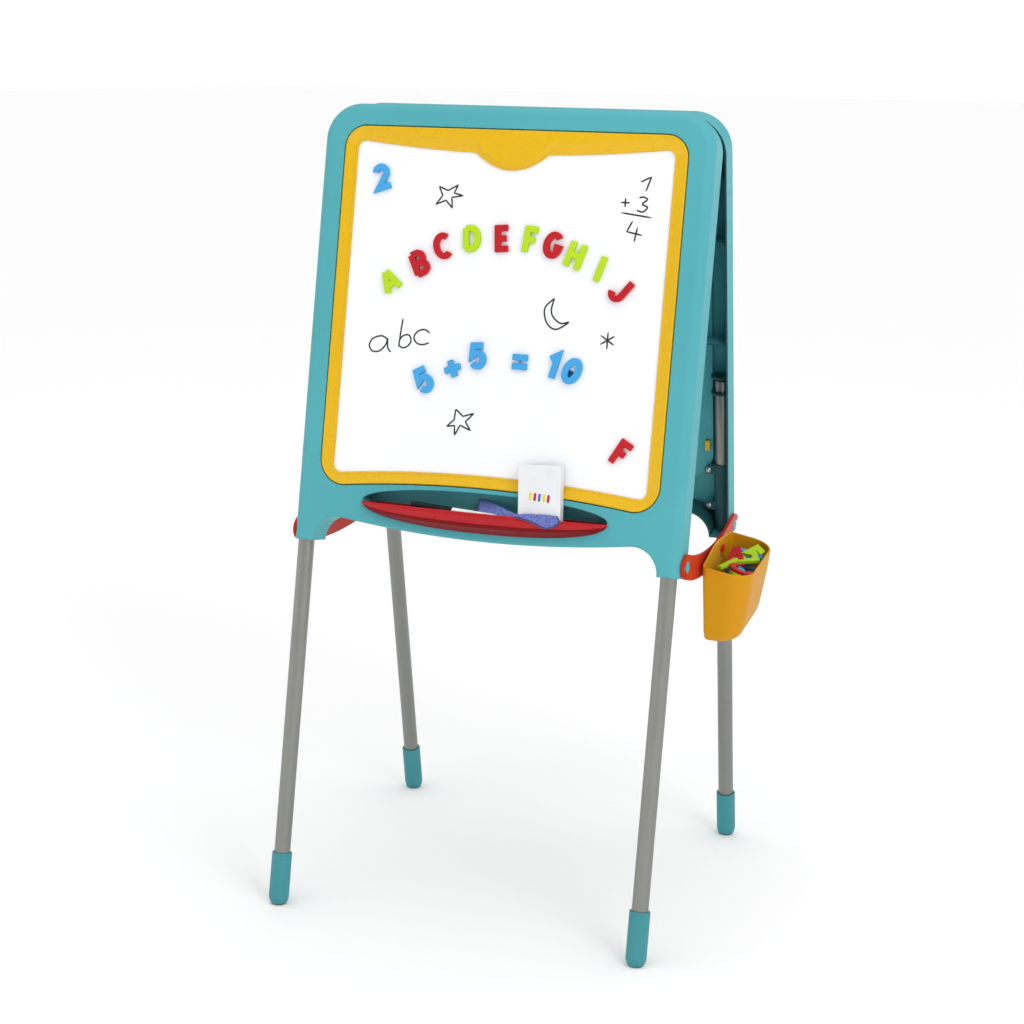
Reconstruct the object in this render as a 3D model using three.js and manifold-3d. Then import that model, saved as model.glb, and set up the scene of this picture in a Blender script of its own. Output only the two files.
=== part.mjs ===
// Folding two-sided drawing easel for children.
// Two moulded panels are hinged along their tops and stand on four tube legs. One panel holds a magnetic
// whiteboard, the other a chalkboard. A red stay on each side keeps the panels apart, and a bucket hangs
// on the right stay. Millimetres, +Z up, front towards -Y, origin on the floor under the object's centre.
import * as THREE from 'three';
import { mergeVertices } from 'three/addons/utils/BufferGeometryUtils.js';
import Module from 'manifold-3d';

const wasm = await Module();
wasm.setup();

// ---------------------------------------------------------------- driving dimensions
const LEAN = 0.1938; // each panel's lean from upright, radians
const HINGE_Z = 1055.4; // height of the hinge axis
const GAP = 0.3; // running clearance between neighbouring pieces
const WALL = 2.5; // moulded wall

// Panel frame: u across, v up along the panel, w out of its face, all zero on the hinge axis.
const HALF_WIDTH = 272;
const PANEL_TOP = 18;
const PANEL_BOTTOM = -577;
const CORNER_R = 50;
const RIM_W = 4; // open back edge of the moulding
const FACE_W = 48.9; // front face
const EDGE_R = 14; // rounding between side and face
const ARCH = { u: 208.5, v: -576, r: 34.5, tilt: 0.134 };

const SEAM = { half: 239, topV: -12.6, bottomV: -497.5, bottomMid: -485.5, rTop: 30, rBottom: 35 };
const OPENING = { half: 221, topV: -32.5, topMid: -44.75, bottomV: -480.3, bottomMid: -468.5, r: 11 };
const TAB = { half: 51, controlV: -87.6 };
const GROOVE = 0.6; // half the groove between panel and frame
const BOARD_W = 43.4; // drawing surface
const BOARD_T = 3;
const BOARD_MARGIN = 7.5; // hidden under the frame on every side
const FRAME_W = 49.6;

const TRAY = { half: 172, v: -514, up: 22, down: 23, back: 20 };
const LIP = { depth: 28, bulge: 24, flange: 1.4, hollow: 18 };
const TROUGH_DEPTH = 14;

const LEG = { u: 257, w: 35, r: 11, wall: 1.5, topV: -351, bottomV: -1068 };
const FOOT = { r: 13.85, topV: -1010.5, floorV: -1082.4, cornerR: 9 };
const COVER = { topV: -475, bottomV: -574, r: 13.2 };
const SCREW_U = 238;
const SCREW_V = [-484, -538];
const RIB_V = [-66, -153, -292];
const GUIDE_V = [-346, -369];

const EAR = { r: 7, outer: [[150, 158], [175, 183]], inner: [[158.5, 174.5]] };
const PIN_R = 3;

const STUD = { y: 127.4, z: 507.6, r: 8.2, neckR: 5, faceX: 277.4 };
const STAY = { x: 272.6, thickness: 4.2, endY: 20, endZ: 16.5, openR: 8.6 };
const FOLD_MAX = 2 * LEAN; // fold angle that brings the panels together
const STAY_TURN = Math.PI / 2 - LEAN; // stay's swing while the panels fold
const HOOK = { y: 27, half: 6, z: 494.7, rise: 4, x: 284.2, thickness: 2.6, lip: 8.6 };

const BUCKET = { x: 281.4, out: 64.3, wall: 2.2, tilt: 0.104, y: 2, half: 74.7, rimZ: 507 };

const MAGNET_H = 36;
const MAGNET_T = 5.5;
const STROKE = 8.5;

// ---------------------------------------------------------------- colours
const TEAL = 0x5db0b8;
const YELLOW = 0xe3b41c;
const RED = 0xb7262d;
const LIME = 0xb4cf2a;
const BLUE = 0x4a9fd8;

function plastic(colour, roughness = 0.4) {
  return new THREE.MeshStandardMaterial({ color: colour, roughness, metalness: 0 });
}

const METAL = { color: 0xa2a39e, roughness: 0.35, metalness: 0.9 };

// ---------------------------------------------------------------- solids
function solid(geometry) {
  const bare = geometry.index ? geometry.clone() : geometry;
  bare.deleteAttribute('normal');
  bare.deleteAttribute('uv');
  const merged = mergeVertices(bare, 1e-4);
  return new wasm.Manifold(new wasm.Mesh({
    numProp: 3,
    vertProperties: new Float32Array(merged.attributes.position.array),
    triVerts: new Uint32Array(merged.index.array),
  }));
}

function geometryOf(body) {
  const mesh = body.getMesh();
  const geometry = new THREE.BufferGeometry();
  geometry.setAttribute('position', new THREE.BufferAttribute(new Float32Array(mesh.vertProperties), 3));
  geometry.setIndex(new THREE.BufferAttribute(new Uint32Array(mesh.triVerts), 1));
  geometry.computeVertexNormals();
  return geometry;
}

function union(bodies) {
  return bodies.reduce((whole, next) => whole.add(next));
}

function inOrder(a, b) {
  return a < b ? [a, b] : [b, a];
}

function box(u0, u1, v0, v1, w0, w1) {
  const geometry = new THREE.BoxGeometry(u1 - u0, v1 - v0, w1 - w0);
  geometry.translate((u0 + u1) / 2, (v0 + v1) / 2, (w0 + w1) / 2);
  return solid(geometry);
}

// Prism of a flat outline between two values of w.
function prism(shape, w0, w1, segments = 8) {
  const geometry = new THREE.ExtrudeGeometry(shape, {
    depth: w1 - w0, bevelEnabled: false, curveSegments: segments,
  });
  geometry.translate(0, 0, w0);
  return solid(geometry);
}

// Prism whose front and back edges are rounded inwards by radius.
function roundedPrism(shape, w0, w1, radius, steps, segments = 8) {
  const geometry = new THREE.ExtrudeGeometry(shape, {
    depth: w1 - w0 - 2 * radius,
    bevelThickness: radius,
    bevelSize: radius,
    bevelOffset: -radius,
    bevelSegments: steps,
    curveSegments: segments,
  });
  geometry.translate(0, 0, w0 + radius);
  return solid(geometry);
}

// Outline drawn in (w, v), extruded across the panel from u0 to u1.
function acrossPrism(shape, u0, u1, segments = 8) {
  const geometry = new THREE.ExtrudeGeometry(shape, {
    depth: u1 - u0, bevelEnabled: false, curveSegments: segments,
  });
  geometry.rotateY(-Math.PI / 2);
  geometry.translate(u1, 0, 0);
  return solid(geometry);
}

// Outline drawn in the world's (y, z), extruded along x from x0 to x1.
function sidePrism(shape, x0, x1, segments = 8) {
  const geometry = new THREE.ExtrudeGeometry(shape, {
    depth: x1 - x0, bevelEnabled: false, curveSegments: segments,
  });
  const turn = new THREE.Matrix4().makeBasis(
    new THREE.Vector3(0, 1, 0),
    new THREE.Vector3(0, 0, 1),
    new THREE.Vector3(1, 0, 0),
  );
  geometry.applyMatrix4(turn);
  geometry.translate(x0, 0, 0);
  return solid(geometry);
}

// Round bar along v, about (u, w).
function barV(radius, v0, v1, u, w, sides = 24) {
  const geometry = new THREE.CylinderGeometry(radius, radius, v1 - v0, sides);
  geometry.translate(u, (v0 + v1) / 2, w);
  return solid(geometry);
}

// Round bar along w, about (u, v).
function barW(radius, w0, w1, u, v, sides = 20) {
  const geometry = new THREE.CylinderGeometry(radius, radius, w1 - w0, sides);
  geometry.rotateX(Math.PI / 2);
  geometry.translate(u, v, (w0 + w1) / 2);
  return solid(geometry);
}

// Round bar along x, about (y, z).
function barX(radius, x0, x1, y, z, sides = 24) {
  const geometry = new THREE.CylinderGeometry(radius, radius, x1 - x0, sides);
  geometry.rotateZ(Math.PI / 2);
  geometry.translate((x0 + x1) / 2, y, z);
  return solid(geometry);
}

// ---------------------------------------------------------------- outlines
function tallOutline(inset) {
  const half = HALF_WIDTH - inset;
  const top = PANEL_TOP - inset;
  const r = CORNER_R - inset;
  const low = PANEL_BOTTOM - 60;
  const shape = new THREE.Shape();
  shape.moveTo(-half, low);
  shape.lineTo(half, low);
  shape.lineTo(half, top - r);
  shape.absarc(half - r, top - r, r, 0, Math.PI / 2, false);
  shape.lineTo(-half + r, top);
  shape.absarc(-half + r, top - r, r, Math.PI / 2, Math.PI, false);
  return shape;
}

// Bottom edge: a leg socket at each side, an arch beside it and a shallow sag between the arches.
function archedOutline(inset) {
  const r = ARCH.r + inset;
  const joinU = ARCH.u - r * Math.sin(ARCH.tilt);
  const joinV = ARCH.v + r * Math.cos(ARCH.tilt);
  const low = PANEL_BOTTOM + inset;
  const far = HALF_WIDTH + 40;
  const shape = new THREE.Shape();
  shape.moveTo(-far, low);
  shape.lineTo(-ARCH.u - r, low);
  shape.lineTo(-ARCH.u - r, ARCH.v);
  shape.absarc(-ARCH.u, ARCH.v, r, Math.PI, Math.PI / 2 - ARCH.tilt, true);
  shape.quadraticCurveTo(0, joinV - joinU * Math.tan(ARCH.tilt), joinU, joinV);
  shape.absarc(ARCH.u, ARCH.v, r, Math.PI / 2 + ARCH.tilt, 0, true);
  shape.lineTo(ARCH.u + r, low);
  shape.lineTo(far, low);
  shape.lineTo(far, PANEL_TOP + 40);
  shape.lineTo(-far, PANEL_TOP + 40);
  return shape;
}

// Continues a path along the parabola v = mid + k u^2 to u1.
function parabolaTo(path, mid, k, u0, u1) {
  path.quadraticCurveTo((u0 + u1) / 2, mid + k * u0 * u1, u1, mid + k * u1 * u1);
}

// Four-sided outline with bowed top and bottom edges and round corners, grown outwards by grow.
function bowedOutline(dims, grow, tab = null) {
  const half = dims.half + grow;
  const topV = dims.topV + grow;
  const bottomV = dims.bottomV - grow;
  const topMid = (dims.topMid ?? dims.topV) + grow;
  const bottomMid = dims.bottomMid - grow;
  const rTop = (dims.rTop ?? dims.r) + grow;
  const rBottom = (dims.rBottom ?? dims.r) + grow;
  const uTop = half - rTop;
  const uBottom = half - rBottom;
  const kTop = (topV - topMid) / uTop ** 2;
  const kBottom = (bottomV - bottomMid) / uBottom ** 2;
  const path = new THREE.Shape();
  path.moveTo(-uBottom, bottomV);
  parabolaTo(path, bottomMid, kBottom, -uBottom, uBottom);
  path.absarc(uBottom, bottomV + rBottom, rBottom, -Math.PI / 2, 0, false);
  path.lineTo(half, topV - rTop);
  path.absarc(uTop, topV - rTop, rTop, 0, Math.PI / 2, false);
  if (tab) {
    parabolaTo(path, topMid, kTop, uTop, tab.half);
    path.quadraticCurveTo(0, tab.controlV, -tab.half, topMid + kTop * tab.half ** 2);
    parabolaTo(path, topMid, kTop, -tab.half, -uTop);
  } else {
    parabolaTo(path, topMid, kTop, uTop, -uTop);
  }
  path.absarc(-uTop, topV - rTop, rTop, Math.PI / 2, Math.PI, false);
  path.lineTo(-half, bottomV + rBottom);
  path.absarc(-uBottom, bottomV + rBottom, rBottom, Math.PI, 1.5 * Math.PI, false);
  return path;
}

// Eye-shaped outline of the tray recess: flatter above its widest line, deeper below it.
function trayOutline(grow) {
  const shape = new THREE.Shape();
  shape.absellipse(0, TRAY.v, TRAY.half + grow, TRAY.up + grow, 0, Math.PI, false);
  shape.absellipse(0, TRAY.v, TRAY.half + grow, TRAY.down + grow, Math.PI, 2 * Math.PI, false);
  return shape;
}

// ---------------------------------------------------------------- panel moulding
// Catches that hold the frame: a stem through a slot, with a barb behind the seat.
const CATCH = { u: 231.8, stem: 4.4, barb: 6.6, half: 7, backW: 31.5, barbW: 35.5 };
const CATCHES = [-110, -225, -450].flatMap((v) => [[-1, v], [1, v]]);

function hingeEar() {
  const lean = 0.2;
  const shape = new THREE.Shape();
  shape.moveTo(BOARD_W - 4, -EAR.r - 12);
  shape.lineTo(BOARD_W - 4, PANEL_TOP - 2);
  shape.lineTo(RIM_W + 14, PANEL_TOP - 2);
  shape.absarc(0, 0, EAR.r, Math.PI / 2 + lean, -Math.PI / 2 - lean, false);
  return shape;
}

function panelBody(earSpans) {
  const far = 120;
  const behind = box(-far * 3, far * 3, -1000, far, RIM_W, far);
  const envelope = roundedPrism(tallOutline(0), RIM_W - 20, FACE_W, EDGE_R, 3, 4)
    .intersect(roundedPrism(archedOutline(0), RIM_W - 20, FACE_W, 3.5, 1, 5))
    .intersect(behind);
  const cavity = roundedPrism(tallOutline(WALL), RIM_W - 20, FACE_W - WALL, EDGE_R - WALL, 3, 4)
    .intersect(prism(archedOutline(WALL), RIM_W - 20, FACE_W - WALL, 5));
  const inside = HALF_WIDTH - 1;
  const seatBack = BOARD_W - BOARD_T - GAP - WALL - 0.5;
  const structure = [
    prism(bowedOutline(SEAM, GROOVE + WALL), seatBack, FACE_W - 1, 4),
    prism(trayOutline(WALL), TRAY.back - WALL, FACE_W - 1, 10),
    ...RIB_V.map((v) => box(-inside, inside, v - 1.2, v + 1.2, RIM_W + 5, FACE_W - 1)),
  ];
  for (const side of [-1, 1]) {
    structure.push(...GUIDE_V.map((v) => barV(16, v - 1.3, v + 1.3, side * LEG.u, LEG.w, 16)));
    structure.push(...SCREW_V.map((v) => barW(5.5, 30.3, FACE_W - 1, side * SCREW_U, v, 10)));
  }
  let body = envelope.subtract(cavity).add(union(structure).intersect(envelope));
  const ears = [];
  for (const [u0, u1] of earSpans) {
    ears.push(acrossPrism(hingeEar(), u0, u1), acrossPrism(hingeEar(), -u1, -u0));
  }
  body = body.add(union(ears));
  const cuts = [
    prism(bowedOutline(SEAM, GROOVE), BOARD_W - BOARD_T - GAP, far, 4),
    prism(trayOutline(0), TRAY.back, far, 10),
    barX(PIN_R + GAP, -HALF_WIDTH + 60, HALF_WIDTH - 60, 0, 0, 10),
  ];
  for (const side of [-1, 1]) {
    cuts.push(barV(LEG.r + GAP, PANEL_BOTTOM - 10, LEG.topV + 1, side * LEG.u, LEG.w, 16));
    cuts.push(...SCREW_V.map((v) => barW(2, 28, 43, side * SCREW_U, v, 6)));
    const [v, w] = studPlace();
    const [u0, u1] = side > 0 ? [LEG.u, HALF_WIDTH + 5] : [-HALF_WIDTH - 5, -LEG.u];
    cuts.push(barX(STUD.neckR + GAP, u0, u1, v, w, 12));
  }
  for (const [side, v] of CATCHES) {
    const us = inOrder(side * (CATCH.u - 0.5), side * (CATCH.u + CATCH.stem + 1.4));
    cuts.push(box(...us, v - CATCH.half - 1, v + CATCH.half + 1, seatBack - 5, BOARD_W));
  }
  return body.subtract(union(cuts));
}

// Where the stay's stud sits in a panel's own (v, w).
function studPlace() {
  const drop = STUD.z - HINGE_Z;
  const v = -STUD.y * Math.sin(LEAN) + drop * Math.cos(LEAN);
  const w = STUD.y * Math.cos(LEAN) + drop * Math.sin(LEAN);
  return [v, w];
}

// ---------------------------------------------------------------- board, frame and tray
function boardBody() {
  return prism(bowedOutline(OPENING, BOARD_MARGIN), BOARD_W - BOARD_T, BOARD_W, 4);
}

function frameBody() {
  const ring = bowedOutline(SEAM, -GROOVE);
  ring.holes.push(bowedOutline(OPENING, 0, TAB));
  const body = roundedPrism(ring, BOARD_W + GAP, FRAME_W, 1.6, 1, 4);
  const catches = CATCHES.flatMap(([side, v]) => {
    const stem = inOrder(side * CATCH.u, side * (CATCH.u + CATCH.stem));
    const barb = inOrder(side * CATCH.u, side * (CATCH.u + CATCH.barb));
    return [
      box(...stem, v - CATCH.half, v + CATCH.half, CATCH.backW, BOARD_W + 3),
      box(...barb, v - CATCH.half, v + CATCH.half, CATCH.backW, CATCH.barbW),
    ];
  });
  return body.add(union(catches));
}

// Half of an ellipsoid about the tray's widest line, below it and in front of w = 0 of the face.
function bowl(halfU, depthV, bulgeW) {
  const geometry = new THREE.SphereGeometry(1, 28, 12);
  geometry.scale(halfU, depthV, bulgeW);
  geometry.translate(0, TRAY.v - 2, FACE_W + GAP);
  return solid(geometry);
}

function troughOutline(grow, depth) {
  const shape = new THREE.Shape();
  shape.absellipse(0, TRAY.v - 2, TRAY.half + grow, depth, Math.PI, 2 * Math.PI, false);
  return shape;
}

function trayBody() {
  const edgeV = TRAY.v - 2;
  const below = box(-200, 200, edgeV - 60, edgeV, FACE_W + GAP, FACE_W + 60);
  const lip = bowl(TRAY.half + LIP.flange, LIP.depth, LIP.bulge).intersect(below);
  const shelf = prism(troughOutline(-6, TRAY.down - 5), TRAY.back + GAP, FACE_W + 1, 10);
  const hollow = bowl(TRAY.half - 1.5, LIP.hollow, LIP.bulge - WALL)
    .intersect(box(-200, 200, edgeV - 60, edgeV + 60, FACE_W, FACE_W + 60));
  const dip = prism(troughOutline(-8.5, TROUGH_DEPTH), TRAY.back + WALL, FACE_W + 1, 10);
  return lip.add(shelf).subtract(hollow.add(dip));
}

// ---------------------------------------------------------------- legs
function legGeometry() {
  const tube = new THREE.Shape();
  tube.absarc(0, 0, LEG.r, 0, 2 * Math.PI, false);
  const bore = new THREE.Path();
  bore.absarc(0, 0, LEG.r - LEG.wall, 0, 2 * Math.PI, true);
  tube.holes.push(bore);
  const geometry = new THREE.ExtrudeGeometry(tube, {
    depth: LEG.topV - LEG.bottomV, bevelEnabled: false, curveSegments: 8,
  });
  geometry.rotateX(-Math.PI / 2);
  geometry.translate(0, LEG.bottomV, 0);
  return geometry;
}

function footBody() {
  const bore = LEG.r + GAP;
  const low = FOOT.floorV - 5;
  const points = [[0, low], [FOOT.r - FOOT.cornerR, low]];
  for (let step = 1; step <= 3; step += 1) {
    const angle = (step / 3) * (Math.PI / 2);
    points.push([
      FOOT.r - FOOT.cornerR * (1 - Math.sin(angle)),
      low + FOOT.cornerR * (1 - Math.cos(angle)),
    ]);
  }
  points.push([FOOT.r, FOOT.topV - 2.5], [FOOT.r - 0.8, FOOT.topV - 0.7], [bore + 0.6, FOOT.topV]);
  points.push([bore, FOOT.topV - 0.6], [bore, LEG.bottomV - 2], [0, LEG.bottomV - 2]);
  const profile = points.map(([r, v]) => new THREE.Vector2(r, v));
  const cap = solid(new THREE.LatheGeometry(profile, 16));
  // The floor is level, so it cuts the leaning cap at an angle.
  const floor = new THREE.BoxGeometry(100, 100, 60);
  floor.rotateX(LEAN - Math.PI / 2);
  const down = new THREE.Vector3(0, 0, -30).applyAxisAngle(new THREE.Vector3(1, 0, 0), LEAN - Math.PI / 2);
  floor.translate(0, FOOT.floorV + down.y, down.z);
  return cap.subtract(solid(floor));
}

// Half sleeve that closes the leg socket from behind, with two screw tabs.
function coverBody(side) {
  const u = side * LEG.u;
  const tabs = SCREW_V.map((v) => {
    const us = inOrder(side * (LEG.u - 9), side * SCREW_U);
    return box(...us, v - 6, v + 6, 26.5, 30)
      .add(barW(6, 26.5, 30, side * SCREW_U, v, 10));
  });
  const reach = inOrder(side * (LEG.u - 20), side * (HALF_WIDTH - WALL - GAP));
  const half = box(...reach, COVER.bottomV, COVER.topV, 0, LEG.w - 1);
  const holes = SCREW_V.map((v) => barW(2, 20, 34, side * SCREW_U, v, 6));
  return barV(COVER.r, COVER.bottomV, COVER.topV, u, LEG.w, 16)
    .intersect(half)
    .add(union(tabs))
    .subtract(barV(LEG.r + GAP, COVER.bottomV - 10, COVER.topV + 10, u, LEG.w, 16))
    .subtract(barW(ARCH.r + WALL + 2 * GAP, 0, FACE_W, side * ARCH.u, ARCH.v, 24))
    .subtract(union(holes));
}

function screwGeometry() {
  const profile = [[0, 0], [4.4, 0], [4.4, -1.4], [3.2, -2.6], [1.2, -2.6], [0.9, -1.2], [0, -1.2]]
    .map(([r, w]) => new THREE.Vector2(r, w));
  const head = new THREE.LatheGeometry(profile.reverse(), 10);
  const shank = new THREE.CylinderGeometry(1.6, 1.6, 12, 6);
  shank.translate(0, 5.5, 0);
  const geometry = geometryOf(solid(head).add(solid(shank)));
  geometry.rotateX(Math.PI / 2);
  return geometry;
}

function hingePinGeometry() {
  const half = (EAR.outer[1][1] - EAR.outer[0][0]) / 2 + GAP;
  const profile = [
    [0, -half - 2], [PIN_R + 1.5, -half - 2], [PIN_R + 1.5, -half], [PIN_R, -half],
    [PIN_R, half], [PIN_R + 1.5, half], [PIN_R + 1.5, half + 2], [0, half + 2],
  ].map(([r, at]) => new THREE.Vector2(r, at));
  const geometry = new THREE.LatheGeometry(profile, 10);
  geometry.rotateZ(Math.PI / 2);
  return geometry;
}

// ---------------------------------------------------------------- stays
function studGeometry() {
  const inner = LEG.u + 10.6;
  const profile = [
    [0, inner], [STUD.neckR, inner], [STUD.neckR, HALF_WIDTH + GAP], [STUD.r, HALF_WIDTH + GAP],
    [STUD.r, STUD.faceX - 0.6], [STUD.r - 0.6, STUD.faceX], [0, STUD.faceX],
  ].map(([r, at]) => new THREE.Vector2(r, at));
  const geometry = new THREE.LatheGeometry(profile, 16);
  geometry.rotateZ(-Math.PI / 2);
  return geometry;
}

// Smile-shaped plate between the studs, in the world's (y, z).
function stayOutline() {
  const { y, z } = STUD;
  const { endY, endZ } = STAY;
  const start = 1.2;
  const finish = -2.25;
  const topY = y - endY * Math.cos(start);
  const topZ = z + endZ * Math.sin(start);
  const lowY = -y + endY * Math.cos(finish);
  const lowZ = z + endZ * Math.sin(finish);
  const shape = new THREE.Shape();
  shape.moveTo(-topY, topZ);
  shape.bezierCurveTo(-84, 512, -44, 505, 0, 505);
  shape.bezierCurveTo(44, 505, 84, 512, topY, topZ);
  shape.absellipse(y, z, endY, endZ, Math.PI - start, finish + 1.5, true, 0);
  shape.bezierCurveTo(112, 484, 70, 475.5, 0, 475.5);
  shape.bezierCurveTo(-70, 475.5, -112, 484, lowY, lowZ);
  shape.absellipse(-y, z, endY, endZ, finish, start - 2 * Math.PI, true, 0);
  return shape;
}

// Rear stud's centre as the stay sees it, while the panels fold and the stay swings up.
function studPath(share) {
  const fold = share * FOLD_MAX;
  const swing = share * STAY_TURN;
  const drop = STUD.z - HINGE_Z;
  const y = STUD.y * Math.cos(fold) + drop * Math.sin(fold);
  const z = HINGE_Z - STUD.y * Math.sin(fold) + drop * Math.cos(fold);
  const dy = y + STUD.y;
  const dz = z - STUD.z;
  return new THREE.Vector2(
    -STUD.y + dy * Math.cos(swing) + dz * Math.sin(swing),
    STUD.z - dy * Math.sin(swing) + dz * Math.cos(swing),
  );
}

// Open mouth of the rear hook: the stud's way out, and everything behind and below it.
function mouthOutline() {
  const steps = 14;
  const reach = 0.32;
  const left = [];
  for (let step = 0; step <= steps; step += 1) {
    const here = studPath((step / steps) * reach);
    const ahead = studPath((step / steps) * reach + 0.001).sub(here).normalize();
    left.push(new THREE.Vector2(here.x + ahead.y * STAY.openR, here.y - ahead.x * STAY.openR));
  }
  const tipAngle = 0.42;
  const shape = new THREE.Shape();
  const far = 70;
  shape.moveTo(STUD.y + far, STUD.z - far);
  shape.lineTo(STUD.y + far, STUD.z + far * Math.tan(tipAngle));
  shape.lineTo(STUD.y + STAY.openR * Math.cos(tipAngle), STUD.z + STAY.openR * Math.sin(tipAngle));
  const enter = Math.atan2(left[0].y - STUD.z, left[0].x - STUD.y);
  shape.absarc(STUD.y, STUD.z, STAY.openR, tipAngle, enter > 0 ? enter : enter + 2 * Math.PI, false);
  left.slice(1).forEach((point) => shape.lineTo(point.x, point.y));
  return shape;
}

function stayBody(side, hasHook) {
  const inner = STAY.x;
  const outer = STAY.x + STAY.thickness;
  const [x0, x1] = side > 0 ? [inner, outer] : [-outer, -inner];
  const slitY = -STUD.y - STUD.r - 1;
  const slit = new THREE.Shape();
  slit.moveTo(slitY - 3.6, STUD.z - 40);
  slit.lineTo(slitY + 1.4, STUD.z - 40);
  slit.lineTo(slitY + 1.4, STUD.z + 7);
  slit.absarc(slitY - 1.1, STUD.z + 7, 2.5, 0, Math.PI, false);
  let body = sidePrism(stayOutline(), x0, x1, 6)
    .subtract(sidePrism(mouthOutline(), x0 - 5, x1 + 5, 6))
    .subtract(barX(STAY.openR, x0 - 5, x1 + 5, -STUD.y, STUD.z, 20))
    .subtract(sidePrism(slit, x0 - 5, x1 + 5, 5));
  if (hasHook) {
    const [y0, y1] = [HOOK.y - HOOK.half, HOOK.y + HOOK.half];
    body = body
      .add(box(x1 - 1, HOOK.x + HOOK.thickness, y0, y1, HOOK.z, HOOK.z + HOOK.rise))
      .add(box(HOOK.x, HOOK.x + HOOK.thickness, y0, y1, HOOK.z, HOOK.z + HOOK.lip));
  }
  return body;
}

// ---------------------------------------------------------------- bucket
// Closed solid through rings of equal point counts, given from the bottom up.
function loft(rings) {
  const count = rings[0].length;
  const positions = rings.flat().flatMap((p) => [p.x, p.y, p.z]);
  const index = [];
  for (let level = 0; level + 1 < rings.length; level += 1) {
    for (let i = 0; i < count; i += 1) {
      const a = level * count + i;
      const b = level * count + ((i + 1) % count);
      index.push(a, b, b + count, a, b + count, a + count);
    }
  }
  for (const [level, flip] of [[0, true], [rings.length - 1, false]]) {
    const middle = rings[level].reduce((sum, p) => sum.add(p), new THREE.Vector3()).divideScalar(count);
    const centre = positions.length / 3;
    positions.push(middle.x, middle.y, middle.z);
    for (let i = 0; i < count; i += 1) {
      const a = level * count + i;
      const b = level * count + ((i + 1) % count);
      index.push(centre, flip ? b : a, flip ? a : b);
    }
  }
  const geometry = new THREE.BufferGeometry();
  geometry.setAttribute('position', new THREE.Float32BufferAttribute(positions, 3));
  geometry.setIndex(index);
  return geometry;
}

// How far the bucket reaches out from the stay, and its half length, at a height z.
const BUCKET_LEVELS = [
  [394, 23, 51], [396.6, 35.5, 58.2], [401.5, 44.5, 62.8], [411, 49.8, 66.2],
  [428, 53.5, 68], [452, 57.8, 70.3], [480, 62, 72.8],
];

// Points of the bucket's plan at one level: flat back, gently curved outer wall, round corners.
function bucketRing(z, reach, half, shrink, heightAt) {
  const x0 = BUCKET.x + shrink;
  const x1 = BUCKET.x + reach - shrink;
  const yHalf = half - shrink;
  const rOut = Math.min((x1 - x0) * 0.5, 30);
  const rBack = Math.min((x1 - x0) * 0.25, 7);
  const plan = new THREE.Shape();
  plan.moveTo(x0, yHalf - rBack);
  plan.lineTo(x0, -yHalf + rBack);
  plan.absarc(x0 + rBack, -yHalf + rBack, rBack, Math.PI, 1.5 * Math.PI, false);
  plan.absarc(x1 - rOut, -yHalf + rOut, rOut, 1.5 * Math.PI, 2 * Math.PI, false);
  plan.absarc(x1 - rOut, yHalf - rOut, rOut, 0, 0.5 * Math.PI, false);
  plan.absarc(x0 + rBack, yHalf - rBack, rBack, 0.5 * Math.PI, Math.PI, false);
  const back = [0.2, 0.4, 0.6, 0.8].map((t) => new THREE.Vector2(x0, (yHalf - rBack) * (1 - 2 * t)));
  const outline = plan.getPoints(3).filter((p, i, all) => i === 0 || p.distanceTo(all[i - 1]) > 1e-3);
  outline.splice(1, 0, ...back);
  if (outline[0].distanceTo(outline[outline.length - 1]) < 1e-3) outline.pop();
  return outline.map((p) => new THREE.Vector3(p.x, p.y, heightAt ? heightAt(p.x, p.y) : z));
}

// The rim falls away from the stay and rises to a low crest in the middle of the back wall.
function rimHeight(x, y) {
  const out = x - BUCKET.x;
  const crest = 9 * Math.max(0, 1 - out / 14) * Math.cos((Math.PI * y) / (2 * BUCKET.half)) ** 2;
  return BUCKET.rimZ - 0.194 * out + crest;
}

function bucketBody() {
  const outer = BUCKET_LEVELS.map(([z, reach, half]) => bucketRing(z, reach, half, 0));
  outer.push(bucketRing(0, BUCKET.out, BUCKET.half, 0, rimHeight));
  const { wall } = BUCKET;
  const inner = BUCKET_LEVELS.map(([z, reach, half]) => bucketRing(z + wall, reach, half, wall));
  inner.push(bucketRing(540, BUCKET.out + 1, BUCKET.half, wall));
  const window = box(
    BUCKET.x - 5, BUCKET.x + 5,
    HOOK.y - BUCKET.y - HOOK.half - 2, HOOK.y - BUCKET.y + HOOK.half + 2,
    HOOK.z - 12.5, HOOK.z + HOOK.rise + 3 * GAP,
  );
  return solid(loft(outer)).subtract(solid(loft(inner))).subtract(window);
}

function heapBody() {
  const rings = [[405, 42, 58], [423, 50, 62], [443, 55, 64.5], [466, 59, 66]];
  return solid(loft(rings.map(([z, reach, half]) => bucketRing(z, reach, half, 6))));
}

// ---------------------------------------------------------------- magnets
function arc(cx, cy, rx, ry, from, to, steps) {
  const points = [];
  for (let i = 0; i <= steps; i += 1) {
    const angle = THREE.MathUtils.degToRad(from + ((to - from) * i) / steps);
    points.push([cx + rx * Math.cos(angle), cy + ry * Math.sin(angle)]);
  }
  return points;
}

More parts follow.
